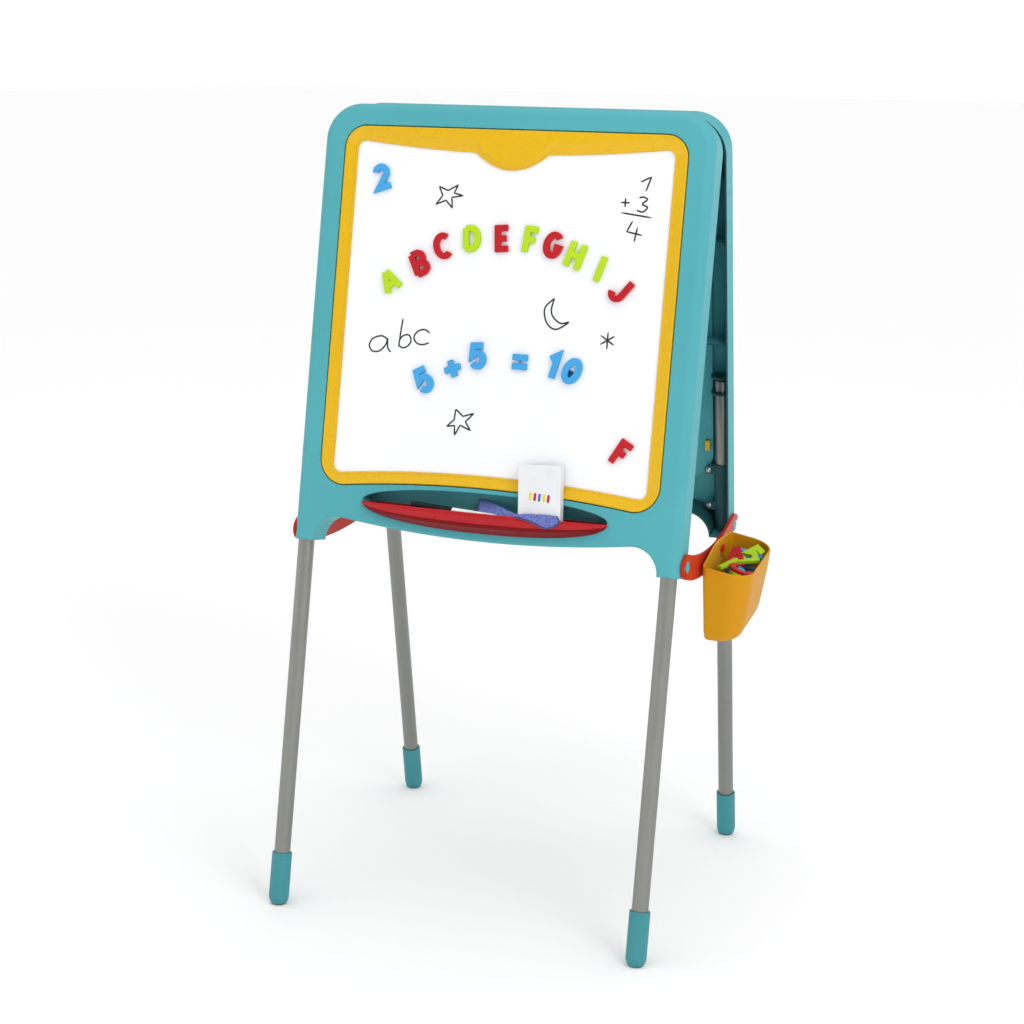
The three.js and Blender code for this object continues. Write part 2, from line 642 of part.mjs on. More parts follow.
// Strokes of each figure inside the middle lines of a box one unit high, centred on the origin.
const GLYPHS = {
  A: [[[-0.36, -0.5], [-0.03, 0.5]], [[0.36, -0.5], [0.03, 0.5]], [[-0.22, -0.16], [0.22, -0.16]]],
  B: [
    [[-0.27, -0.5], [-0.27, 0.5]],
    [[-0.27, 0.5], ...arc(0.02, 0.25, 0.22, 0.25, 90, -90, 6), [-0.27, 0]],
    [[-0.27, 0], ...arc(0.04, -0.25, 0.25, 0.25, 90, -90, 6), [-0.27, -0.5]],
  ],
  C: [arc(0.04, 0, 0.36, 0.5, 48, 312, 12)],
  D: [[[-0.28, -0.5], [-0.28, 0.5]], [[-0.28, 0.5], ...arc(-0.04, 0, 0.36, 0.5, 90, -90, 9), [-0.28, -0.5]]],
  E: [[[0.26, 0.5], [-0.26, 0.5], [-0.26, -0.5], [0.26, -0.5]], [[-0.26, 0], [0.18, 0]]],
  F: [[[0.26, 0.5], [-0.26, 0.5], [-0.26, -0.62]], [[-0.26, 0], [0.16, 0]]],
  G: [[...arc(0, 0, 0.36, 0.5, 48, 330, 12), [0.34, -0.06], [0.06, -0.06]]],
  H: [[[-0.28, -0.62], [-0.28, 0.62]], [[0.28, -0.62], [0.28, 0.62]], [[-0.28, 0], [0.28, 0]]],
  I: [[[0, -0.62], [0, 0.62]]],
  J: [[[0.2, 0.62], [0.2, -0.22], ...arc(-0.06, -0.22, 0.26, 0.28, 0, -165, 8)]],
  2: [[...arc(0, 0.22, 0.28, 0.28, 165, -38, 9), [-0.28, -0.5], [0.34, -0.5]]],
  5: [[[0.26, 0.5], [-0.2, 0.5], [-0.25, 0.02], ...arc(-0.01, -0.17, 0.29, 0.33, 100, -145, 11)]],
  1: [[[0.06, -0.62], [0.06, 0.5], [-0.24, 0.24]]],
  0: [arc(0, 0, 0.3, 0.5, 0, 180, 9), arc(0, 0, 0.3, 0.5, 180, 360, 9)],
  plus: [[[-0.42, 0], [0.42, 0]], [[0, -0.42], [0, 0.42]]],
  equals: [[[-0.38, 0.22], [0.38, 0.22]], [[-0.38, -0.22], [0.38, -0.22]], [[0, 0.22], [0, -0.22]]],
};

// Band of constant width along a broken line, with mitred corners and square ends.
function band(points, width) {
  const at = points.map(([x, y]) => new THREE.Vector2(x, y));
  const sides = at.map((p, i) => {
    const before = p.clone().sub(at[Math.max(i - 1, 0)]);
    const after = at[Math.min(i + 1, at.length - 1)].clone().sub(p);
    const a = (before.length() > 0 ? before : after).clone().normalize();
    const b = (after.length() > 0 ? after : before).clone().normalize();
    const mitre = a.clone().add(b).normalize();
    const stretch = 1 / Math.max(0.35, mitre.dot(a));
    return new THREE.Vector2(-mitre.y, mitre.x).multiplyScalar((width / 2) * stretch);
  });
  const outline = at.map((p, i) => p.clone().add(sides[i]));
  at.map((p, i) => p.clone().sub(sides[i])).reverse().forEach((p) => outline.push(p));
  return new THREE.Shape(outline.reverse());
}

function magnetBody(figure) {
  const scale = MAGNET_H - STROKE;
  const strokes = GLYPHS[figure].map((line) => {
    const points = line.map(([x, y]) => [x * scale, y * scale]);
    return prism(band(points, STROKE), 0, MAGNET_T, 1);
  });
  return union(strokes);
}

// Figure, colour, place on the board and turn in degrees.
const MAGNETS = [
  ['2', BLUE, -182, -81, 18],
  ['A', LIME, -159, -219, 32],
  ['B', RED, -118, -193, 26],
  ['C', RED, -87, -169, 16],
  ['D', LIME, -47, -157, 4],
  ['E', RED, -3, -155, 5],
  ['F', LIME, 38, -155, -6],
  ['G', RED, 69, -161, -14],
  ['H', LIME, 97, -172, -18],
  ['I', LIME, 134, -188, -18],
  ['J', RED, 164, -214, -38],
  ['5', BLUE, -99, -348, 27],
  ['plus', BLUE, -59, -330, 22],
  ['5', BLUE, -25, -311, 4],
  ['equals', BLUE, 34.5, -315, -1],
  ['1', BLUE, 82, -316, -14],
  ['0', BLUE, 107, -322, -24],
  ['F', RED, 184, -424, -30],
];

// ---------------------------------------------------------------- things kept in the tray
const MARKER = { r: 5.6, u: -98.5, v: -515, w: 56, tilt: -0.056, cap: 59, length: 128 };

function markerCapGeometry() {
  const r = MARKER.r;
  const bore = 4.3;
  const profile = [
    [0, 0], [r - 1.6, 0], [r - 0.5, 1], [r, 3], [r, MARKER.cap], [bore, MARKER.cap], [bore, 14], [0, 14],
  ].map(([x, y]) => new THREE.Vector2(x, y));
  return new THREE.LatheGeometry(profile, 12);
}

function markerBodyGeometry() {
  const r = MARKER.r;
  const start = MARKER.cap + GAP;
  const profile = [
    [0, 17], [1.2, 17], [1.8, 26], [3.6, 30], [3.9, start - 2], [3.9, start], [r - 0.3, start],
    [r - 0.3, MARKER.length - 2], [r - 1.2, MARKER.length], [0, MARKER.length],
  ].map(([x, y]) => new THREE.Vector2(x, y));
  return new THREE.LatheGeometry(profile, 12);
}

const CARTON = { width: 58, height: 74, depth: 14, u: 82.2, v: -484, w: 57.3, turn: 0.07 };

// Folded cleaning cloth: one part lies behind the lip, the rest hangs over it.
function clothBody() {
  const over = new THREE.Shape();
  over.moveTo(66.5, -514.7);
  over.lineTo(66.5, -505);
  over.lineTo(72, -505);
  over.lineTo(76.2, -511);
  over.lineTo(76.2, -525);
  over.lineTo(73.4, -525);
  over.lineTo(73.4, -514.7);
  return acrossPrism(over, 44, 112).add(box(-4, 44.5, -512.4, -502, 50, 68));
}

// ---------------------------------------------------------------- assembly
const easel = new THREE.Group();
// The bucket sticks out on one side only, so the origin is moved under the middle of the whole object.
easel.position.x = -(BUCKET.x + BUCKET.out - STUD.faceX) / 2;

function place(parent, name, shape, material, position = [0, 0, 0], turn = [0, 0, 0]) {
  const geometry = shape.isBufferGeometry ? shape : geometryOf(shape);
  const mesh = new THREE.Mesh(geometry, material);
  mesh.name = name;
  mesh.position.set(...position);
  mesh.rotation.set(...turn);
  parent.add(mesh);
  return mesh;
}

function sideGroup(turnZ) {
  const turned = new THREE.Group();
  turned.rotation.z = turnZ;
  const panel = new THREE.Group();
  panel.rotation.x = Math.PI / 2 - LEAN;
  panel.position.z = HINGE_Z;
  turned.add(panel);
  easel.add(turned);
  return panel;
}

function buildSide(name, turnZ, ears, boardName, boardColour) {
  const panel = sideGroup(turnZ);
  place(panel, `${name}_panel`, panelBody(ears), plastic(TEAL));
  place(panel, `${name}_frame`, frameBody(), plastic(YELLOW, 0.3));
  place(panel, boardName, boardBody(), plastic(boardColour, name === 'front' ? 0.12 : 0.8));
  place(panel, `${name}_tray`, trayBody(), plastic(RED, 0.3));
  const [studV, studW] = studPlace();
  for (const [hand, side] of [['left', -1], ['right', 1]]) {
    // The rear group is turned half round, so its own right is the easel's left.
    const local = turnZ === 0 ? side : -side;
    const at = [local * LEG.u, 0, LEG.w];
    place(panel, `${name}_${hand}_leg`, legGeometry(), new THREE.MeshStandardMaterial(METAL), at);
    place(panel, `${name}_${hand}_foot`, footBody(), plastic(TEAL), at);
    place(panel, `${name}_${hand}_socket_cover`, coverBody(local), plastic(TEAL, 0.5));
    SCREW_V.forEach((v, i) => {
      const screw = new THREE.MeshStandardMaterial(METAL);
      const screwName = `${name}_${hand}_screw_${i + 1}`;
      place(panel, screwName, screwGeometry(), screw, [local * SCREW_U, v, 26.5 - GAP]);
    });
    const spin = local > 0 ? 0 : Math.PI;
    place(panel, `${name}_${hand}_stud`, studGeometry(), plastic(TEAL), [0, studV, studW], [0, spin, 0]);
  }
  return panel;
}

const front = buildSide('front', 0, EAR.outer, 'whiteboard', 0xfdfdff);
buildSide('rear', Math.PI, EAR.inner, 'chalkboard', 0x23282a);

for (const [hand, side] of [['left', -1], ['right', 1]]) {
  const middle = (side * (EAR.outer[0][0] + EAR.outer[1][1])) / 2;
  const steel = new THREE.MeshStandardMaterial(METAL);
  place(front, `${hand}_hinge_pin`, hingePinGeometry(), steel, [middle, 0, 0]);
  place(easel, `${hand}_stay`, stayBody(side, side > 0), plastic(RED, 0.3));
}

// The bucket hangs from one hook, so it tips a little about it.
const tipped = new THREE.Group();
tipped.position.set(0, HOOK.y, HOOK.z + HOOK.rise);
tipped.rotation.x = BUCKET.tilt;
const hung = new THREE.Group();
hung.position.set(0, BUCKET.y - HOOK.y, -HOOK.z - HOOK.rise);
tipped.add(hung);
easel.add(tipped);
place(hung, 'bucket', bucketBody(), plastic(YELLOW, 0.45));
place(hung, 'spare_magnets', heapBody(), plastic(RED));

MAGNETS.forEach(([figure, colour, u, v, turn], i) => {
  const name = `magnet_${String(i + 1).padStart(2, '0')}_${figure}`;
  const angle = THREE.MathUtils.degToRad(turn);
  place(front, name, magnetBody(figure), plastic(colour), [u, v, BOARD_W + GAP], [0, 0, angle]);
});

const markerTurn = [0, 0, MARKER.tilt - Math.PI / 2];
const markerAt = [MARKER.u, MARKER.v, MARKER.w];
place(front, 'marker_cap', markerCapGeometry(), plastic(0x121212, 0.35), markerAt, markerTurn);
place(front, 'marker_body', markerBodyGeometry(), plastic(0xf2f2f2, 0.35), markerAt, markerTurn);
const carton = new THREE.BoxGeometry(CARTON.width, CARTON.height, CARTON.depth);
const cartonAt = [CARTON.u, CARTON.v, CARTON.w];
place(front, 'chalk_box', carton, plastic(0xdadbdd, 0.85), cartonAt, [0, 0, CARTON.turn]);
place(front, 'cleaning_cloth', clothBody(), plastic(0x6d7bb5, 1));

export default easel;
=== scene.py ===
# Folding two-sided drawing easel for children: fine meshes, materials, light and camera.
# Lengths are millimetres until the WORLD, FRONT and REAR matrices turn them into metres in the easel's frame.
import math

import bmesh
import bpy
from mathutils import Euler, Matrix, Vector


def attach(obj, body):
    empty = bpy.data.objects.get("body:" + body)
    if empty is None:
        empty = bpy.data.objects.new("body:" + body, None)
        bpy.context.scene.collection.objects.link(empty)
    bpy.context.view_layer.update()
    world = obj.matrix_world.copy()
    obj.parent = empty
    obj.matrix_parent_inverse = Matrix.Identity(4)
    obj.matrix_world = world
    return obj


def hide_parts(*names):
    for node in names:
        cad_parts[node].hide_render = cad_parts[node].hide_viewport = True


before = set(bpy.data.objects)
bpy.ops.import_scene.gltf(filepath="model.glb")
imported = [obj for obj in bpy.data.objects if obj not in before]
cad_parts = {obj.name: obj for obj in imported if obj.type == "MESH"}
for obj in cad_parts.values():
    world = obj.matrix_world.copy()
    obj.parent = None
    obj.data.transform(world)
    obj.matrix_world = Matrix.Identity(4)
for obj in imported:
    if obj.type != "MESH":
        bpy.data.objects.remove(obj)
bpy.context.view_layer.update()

# ------------------------------------------------------------------ driving dimensions
MM = 0.001
LEAN = 0.1938
HINGE_Z = 1055.4
GAP = 0.3
WALL = 2.5
HALF_WIDTH = 272
PANEL_TOP = 18
PANEL_BOTTOM = -577
CORNER_R = 50
RIM_W = 4
FACE_W = 48.9
EDGE_R = 14
ARCH = dict(u=208.5, v=-576, r=34.5, tilt=0.134)
SEAM = dict(half=239, top=-12.6, top_mid=-12.6, bottom=-497.5, bottom_mid=-485.5, r_top=30, r_bottom=35)
OPENING = dict(half=221, top=-32.5, top_mid=-44.75, bottom=-480.3, bottom_mid=-468.5, r_top=11, r_bottom=11)
TAB = dict(half=51, control=-87.6)
GROOVE = 0.6
BOARD_W = 43.4
BOARD_T = 3
FRAME_W = 49.6
TRAY = dict(half=172, v=-514, up=22, down=23, back=20)
LIP = dict(flange=1.4, power=2.2, sink=0.8)
TROUGH_DEPTH = 14
LEG = dict(u=257, w=35, r=11, wall=1.5, top=-351, bottom=-1068)
FOOT = dict(r=13.85, top=-1010.5, floor=-1082.4, inset=9, rise=14, below=1.9, sole=1.6)
COVER = dict(top=-475, bottom=-574, r=13.2)
SCREW_U = 238
SCREW_V = (-484, -538)
RIB_V = (-66, -153, -292)
GUIDE_V = (-346, -369)
CATCH = dict(u=231.8, stem=4.4, barb=6.6, half=7, back=31.5, barb_w=35.5)
CATCHES = [(side, v) for v in (-110, -225, -450) for side in (-1, 1)]
EAR = dict(r=7, outer=((150, 158), (175, 183)), inner=((158.5, 174.5),))
PIN_R = 3
STUD = dict(y=127.4, z=507.6, r=8.2, neck=5, face=277.4)
STAY = dict(x=272.6, thickness=4.2, end_y=20, end_z=16.5, open_r=8.6)
HOOK = dict(y=27, half=6, z=494.7, rise=4, x=284.2, thickness=2.6, lip=8.6)
BUCKET = dict(x=281.4, out=64.3, wall=2.2, tilt=0.104, y=2, half=74.7, rim_z=507)
BUCKET_LEVELS = [
    (394, 23, 51), (396.6, 35.5, 58.2), (401.5, 44.5, 62.8), (411, 49.8, 66.2),
    (428, 53.5, 68), (452, 57.8, 70.3), (480, 62, 72.8), (507, 64.3, 74.7),
]
MAGNET_H = 36
MAGNET_T = 5.5
STROKE = 8.5
MARKER = dict(r=5.6, u=-98.5, v=-515, w=56, tilt=-0.056, cap=59, length=128)
CARTON = dict(width=58, height=74, depth=14, u=82.2, v=-484, w=57.3, turn=0.07)

SHIFT = -(BUCKET["x"] + BUCKET["out"] - STUD["face"]) / 2
SIN, COS = math.sin(LEAN), math.cos(LEAN)
WORLD = Matrix.Scale(MM, 4) @ Matrix.Translation((SHIFT, 0, 0))
PANEL = Matrix(((1, 0, 0, 0), (0, SIN, -COS, 0), (0, COS, SIN, HINGE_Z), (0, 0, 0, 1)))
FRONT = WORLD @ PANEL
REAR = WORLD @ Matrix.Rotation(math.pi, 4, "Z") @ PANEL
SIDES = {"front": FRONT, "rear": REAR}


# ------------------------------------------------------------------ outlines
def arc(cx, cy, rx, ry, start, end, steps):
    """Points on an ellipse from start to end, in radians."""
    turns = [start + (end - start) * i / steps for i in range(steps + 1)]
    return [(cx + rx * math.cos(t), cy + ry * math.sin(t)) for t in turns]


def bezier(points, steps):
    """Points on a quadratic or cubic Bezier curve."""
    out = []
    for i in range(steps + 1):
        level = [Vector(p) for p in points]
        while len(level) > 1:
            level = [a.lerp(b, i / steps) for a, b in zip(level, level[1:])]
        out.append(tuple(level[0]))
    return out


def joined(*paths):
    """One closed outline from paths that meet end to end."""
    out = []
    for path in paths:
        for point in path:
            if not out or math.dist(out[-1], point) > 1e-4:
                out.append(point)
    if math.dist(out[0], out[-1]) < 1e-4:
        out.pop()
    return out


def tall_outline(inset):
    half, top, r = HALF_WIDTH - inset, PANEL_TOP - inset, CORNER_R - inset
    low = PANEL_BOTTOM - 60
    return joined(
        [(-half, low), (half, low)],
        arc(half - r, top - r, r, r, 0, math.pi / 2, 18),
        arc(-half + r, top - r, r, r, math.pi / 2, math.pi, 18),
    )


def arched_outline(inset):
    """A leg socket at each side, an arch beside it and a shallow sag between the arches."""
    r = ARCH["r"] + inset
    u, v, tilt = ARCH["u"], ARCH["v"], ARCH["tilt"]
    join_u, join_v = u - r * math.sin(tilt), v + r * math.cos(tilt)
    low, far, high = PANEL_BOTTOM + inset, HALF_WIDTH + 40, PANEL_TOP + 40
    return joined(
        [(-far, low), (-u - r, low)],
        arc(-u, v, r, r, math.pi, math.pi / 2 - tilt, 20),
        bezier([(-join_u, join_v), (0, join_v - join_u * math.tan(tilt)), (join_u, join_v)], 36),
        arc(u, v, r, r, math.pi / 2 + tilt, 0, 20),
        [(u + r, low), (far, low), (far, high), (-far, high)],
    )


def parabola(mid, k, u0, u1, steps):
    return bezier([(u0, mid + k * u0 * u0), ((u0 + u1) / 2, mid + k * u0 * u1), (u1, mid + k * u1 * u1)], steps)


def bowed_outline(dims, grow, tab=None):
    """Four-sided outline with bowed top and bottom edges and round corners, grown by grow."""
    half, top, bottom = dims["half"] + grow, dims["top"] + grow, dims["bottom"] - grow
    top_mid, bottom_mid = dims["top_mid"] + grow, dims["bottom_mid"] - grow
    r_top, r_bottom = dims["r_top"] + grow, dims["r_bottom"] + grow
    u_top, u_bottom = half - r_top, half - r_bottom
    k_top = (top - top_mid) / u_top ** 2
    k_bottom = (bottom - bottom_mid) / u_bottom ** 2
    if tab:
        edge = tab["half"]
        edge_v = top_mid + k_top * edge ** 2
        top_path = parabola(top_mid, k_top, u_top, edge, 16)
        top_path += bezier([(edge, edge_v), (0, tab["control"]), (-edge, edge_v)], 30)[1:]
        top_path += parabola(top_mid, k_top, -edge, -u_top, 16)[1:]
    else:
        top_path = parabola(top_mid, k_top, u_top, -u_top, 40)
    return joined(
        parabola(bottom_mid, k_bottom, -u_bottom, u_bottom, 40),
        arc(u_bottom, bottom + r_bottom, r_bottom, r_bottom, -math.pi / 2, 0, 12),
        arc(u_top, top - r_top, r_top, r_top, 0, math.pi / 2, 12),
        top_path,
        arc(-u_top, top - r_top, r_top, r_top, math.pi / 2, math.pi, 12),
        arc(-u_bottom, bottom + r_bottom, r_bottom, r_bottom, math.pi, 1.5 * math.pi, 12),
    )


def tray_outline(grow):
    """Eye-shaped outline of the tray recess."""
    half, v = TRAY["half"] + grow, TRAY["v"]
    return joined(
        arc(0, v, half, TRAY["up"] + grow, 0, math.pi, 64),
        arc(0, v, half, TRAY["down"] + grow, math.pi, 2 * math.pi, 64),
    )


def trough_outline(grow, depth):
    return joined(arc(0, TRAY["v"] - 2, TRAY["half"] + grow, depth, math.pi, 2 * math.pi, 64))


# ------------------------------------------------------------------ closed meshes
def mesh_of(verts, faces):
    mesh = bpy.data.meshes.new("m")
    mesh.from_pydata([tuple(v) for v in verts], [], faces)
    bm = bmesh.new()
    bm.from_mesh(mesh)
    bmesh.ops.recalc_face_normals(bm, faces=bm.faces)
    bm.to_mesh(mesh)
    bm.free()
    return mesh


def loft(rings, closed=False):
    """Closed body through rings of equal point counts; closed joins the last ring to the first."""
    count = len(rings[0])
    verts = [p for ring in rings for p in ring]
    faces = []
    spans = len(rings) if closed else len(rings) - 1
    for level in range(spans):
        low, high = level * count, ((level + 1) % len(rings)) * count
        for i in range(count):
            j = (i + 1) % count
            faces.append((low + i, low + j, high + j, high + i))
    if not closed:
        faces.append(tuple(range(count)))
        faces.append(tuple(range((len(rings) - 1) * count, len(rings) * count)))
    return mesh_of(verts, faces)


def prism(outline, w0, w1):
    return loft([[(x, y, w) for x, y in outline] for w in (w0, w1)])


def layered(outline_at, levels):
    """Body whose outline is outline_at(grow) at each level (grow, w)."""
    return loft([[(x, y, w) for x, y in outline_at(grow)] for grow, w in levels])


def rounded_levels(w0, w1, r, steps=6):
    """Levels of a body whose edges are rounded inwards by r at both ends."""
    quarter = [(i / steps) * math.pi / 2 for i in range(steps + 1)]
    low = [(r * (1 - math.sin(t)), w0 + r * (1 - math.cos(t))) for t in quarter]
    high = [(r * (1 - math.cos(t)), w1 - r * (1 - math.sin(t))) for t in quarter]
    return low + high


def flared_levels(w0, w1, r, beyond, steps=4):
    """Levels of a cutter that rounds the edge it leaves at w1 by r."""
    quarter = [(i / steps) * math.pi / 2 for i in range(steps + 1)]
    flare = [(r * (1 - math.cos(t)), w1 - r * (1 - math.sin(t))) for t in quarter]
    return [(0, w0)] + flare + [(r, beyond)]


def box(x0, x1, y0, y1, z0, z1):
    return prism([(x0, y0), (x1, y0), (x1, y1), (x0, y1)], z0, z1)


def circle(r, cx=0, cy=0, sides=40):
    return [(cx + r * math.cos(i * math.tau / sides), cy + r * math.sin(i * math.tau / sides)) for i in range(sides)]


def bar_v(r, v0, v1, u, w, sides=48):
    return loft([[(u + x, v, w + y) for x, y in circle(r, sides=sides)] for v in (v0, v1)])


def bar_w(r, w0, w1, u, v, sides=32):
    return prism(circle(r, u, v, sides), w0, w1)


def bar_x(r, x0, x1, y, z, sides=40):
    return loft([[(x, y + a, z + b) for a, b in circle(r, sides=sides)] for x in (x0, x1)])


def across(outline, u0, u1):
    """Outline drawn in (w, v) and carried across from u0 to u1."""
    return loft([[(u, v, w) for w, v in outline] for u in (u0, u1)])


def sideways(outline, x0, x1):
    """Outline drawn in (y, z) and carried from x0 to x1."""
    return loft([[(x, y, z) for y, z in outline] for x in (x0, x1)])


def lathe(profile, sides=48):
    """Body turned about the y axis from (radius, height) points that start and end on the axis."""
    inner = profile[1:-1]
    verts = [(0, profile[0][1], 0), (0, profile[-1][1], 0)]
    for i in range(sides):
        t = i * math.tau / sides
        verts += [(r * math.cos(t), y, r * math.sin(t)) for r, y in inner]
    n = len(inner)
    faces = []
    for i in range(sides):
        a, b = 2 + i * n, 2 + ((i + 1) % sides) * n
        faces.append((0, a, b))
        faces.append((1, b + n - 1, a + n - 1))
        faces += [(a + k, a + k + 1, b + k + 1, b + k) for k in range(n - 1)]
    return mesh_of(verts, faces)


def ring_lathe(profile, sides=48):
    """Tube turned about the y axis from a profile that closes on itself."""
    rings = []
    for i in range(sides):
        t = i * math.tau / sides
        rings.append([(r * math.cos(t), y, r * math.sin(t)) for r, y in profile])
    return loft(rings, closed=True)


def combine(base, tools, how="DIFFERENCE"):
    """Boolean of one closed mesh with others."""
    scene = bpy.context.scene.collection
    scratch = [bpy.data.objects.new("scratch", base)]
    scene.objects.link(scratch[0])
    for tool in tools:
        other = bpy.data.objects.new("scratch_tool", tool)
        scene.objects.link(other)
        scratch.append(other)
        step = scratch[0].modifiers.new("cut", "BOOLEAN")
        step.operation, step.solver, step.object = how, "MANIFOLD", other
    bpy.context.view_layer.update()
    graph = bpy.context.evaluated_depsgraph_get()
    result = bpy.data.meshes.new_from_object(scratch[0].evaluated_get(graph))
    used = [o.data for o in scratch]
    for o in scratch:
        bpy.data.objects.remove(o)
    for mesh in used:
        if mesh.users == 0:
            bpy.data.meshes.remove(mesh)
    return result


def union(meshes):
    return combine(meshes[0], meshes[1:], "UNION") if len(meshes) > 1 else meshes[0]


def moved(mesh, matrix):
    mesh.transform(matrix)
    return mesh


def softened(mesh, width, steps=2, angle=40):
    """The mesh with its sharp edges rounded."""
    bm = bmesh.new()
    bm.from_mesh(mesh)
    bmesh.ops.remove_doubles(bm, verts=bm.verts, dist=0.01)
    bmesh.ops.dissolve_limit(bm, angle_limit=0.01, verts=bm.verts, edges=bm.edges)
    sharp = [e for e in bm.edges if len(e.link_faces) == 2 and e.calc_face_angle(0) > math.radians(angle)]
    bmesh.ops.bevel(
        bm, geom=sharp, offset=width, offset_type="OFFSET", segments=steps,
        profile=0.5, affect="EDGES", clamp_overlap=True,
    )
    bmesh.ops.recalc_face_normals(bm, faces=bm.faces)
    bm.to_mesh(mesh)
    bm.free()
    return mesh


def finish_mesh(mesh, angle):
    mesh.shade_smooth()
    mesh.set_sharp_from_angle(angle=math.radians(angle))


def piece(name, mesh, matrix, material, body, replaces=(), angle=32, weigh=True):
    """One visible piece: its mesh in metres, shaded, painted and riding on a body."""
    mesh.name = name
    mesh.transform(matrix)
    finish_mesh(mesh, angle)
    mesh.materials.clear()
    mesh.materials.append(material)
    obj = bpy.data.objects.new(name, mesh)
    bpy.context.scene.collection.objects.link(obj)
    if weigh:
        normals = obj.modifiers.new("normals", "WEIGHTED_NORMAL")
        normals.keep_sharp = True
        normals.weight = 80
    if replaces:
        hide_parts(*replaces)
    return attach(obj, body)


# ------------------------------------------------------------------ materials
def linear(hex_colour):
    """Linear RGBA of an sRGB hex colour."""
    out = []
    for shift in (16, 8, 0):
        c = ((hex_colour >> shift) & 255) / 255
        out.append(c / 12.92 if c <= 0.04045 else ((c + 0.055) / 1.055) ** 2.4)
    return (*out, 1)


class Look:
    """Short hand for a node material around one Principled shader."""

    def __init__(self, name, colour, roughness, metallic=0.0, **sockets):
        self.material = bpy.data.materials.new(name)
        self.material.use_nodes = True
        self.tree = self.material.node_tree
        self.shader = self.tree.nodes["Principled BSDF"]
        self.colour = linear(colour)
        self.shader.inputs["Base Color"].default_value = self.colour
        self.shader.inputs["Roughness"].default_value = roughness
        self.shader.inputs["Metallic"].default_value = metallic
        for key, value in sockets.items():
            self.shader.inputs[key.replace("_", " ")].default_value = value
        self.place = self.add("ShaderNodeTexCoord").outputs["Object"]
        self.bumped = None

    def add(self, kind, **settings):
        node = self.tree.nodes.new(kind)
        for key, value in settings.items():
            setattr(node, key, value)
        return node

    def link(self, a, b):
        self.tree.links.new(a, b)

    def noise(self, scale, detail=3, roughness=0.55, stretch=None):
        node = self.add("ShaderNodeTexNoise")
        node.inputs["Scale"].default_value = scale
        node.inputs["Detail"].default_value = detail
        node.inputs["Roughness"].default_value = roughness
        source = self.place
        if stretch:
            mapping = self.add("ShaderNodeMapping")
            mapping.inputs["Scale"].default_value = stretch
            self.link(source, mapping.inputs["Vector"])
            source = mapping.outputs["Vector"]
        self.link(source, node.inputs["Vector"])
        return node.outputs["Fac"]

    def span(self, value, low, high, from_low=0.3, from_high=0.7):
        node = self.add("ShaderNodeMapRange")
        node.inputs["From Min"].default_value = from_low
        node.inputs["From Max"].default_value = from_high
        node.inputs["To Min"].default_value = low
        node.inputs["To Max"].default_value = high
        self.link(value, node.inputs["Value"])
        return node.outputs["Result"]

    def mottle(self, value, other, share=(0.0, 1.0)):
        """Base colour that runs between the main colour and another."""
        node = self.add("ShaderNodeMix", data_type="RGBA")
        node.inputs["A"].default_value = self.colour
        node.inputs["B"].default_value = linear(other)
        self.link(self.span(value, *share), node.inputs["Factor"])
        self.link(node.outputs["Result"], self.shader.inputs["Base Color"])
        return self

    def rough(self, value, low, high):
        self.link(self.span(value, low, high), self.shader.inputs["Roughness"])
        return self

    def bump(self, value, distance, strength=1.0):
        node = self.add("ShaderNodeBump")
        node.inputs["Strength"].default_value = strength
        node.inputs["Distance"].default_value = distance
        self.link(value, node.inputs["Height"])
        if self.bumped:
            self.link(self.bumped, node.inputs["Normal"])
        self.bumped = node.outputs["Normal"]
        self.link(self.bumped, self.shader.inputs["Normal"])
        return self


def moulded(name, colour, deeper, rough=(0.34, 0.46), grain=0.00006, gloss=0.3):
    """Injection-moulded plastic: fine spark-eroded grain, slow flow mottling, faint handling marks."""
    look = Look(name, colour, sum(rough) / 2, Specular_IOR_Level=gloss, IOR=1.5)
    look.mottle(look.noise(7, 2, 0.4), deeper, (0.0, 0.35))
    look.rough(look.noise(60, 5, 0.7), *rough)
    look.bump(look.noise(2200, 2, 0.6), grain, 0.5)
    look.bump(look.noise(22, 1, 0.3), 0.00006, 0.1)
    return look


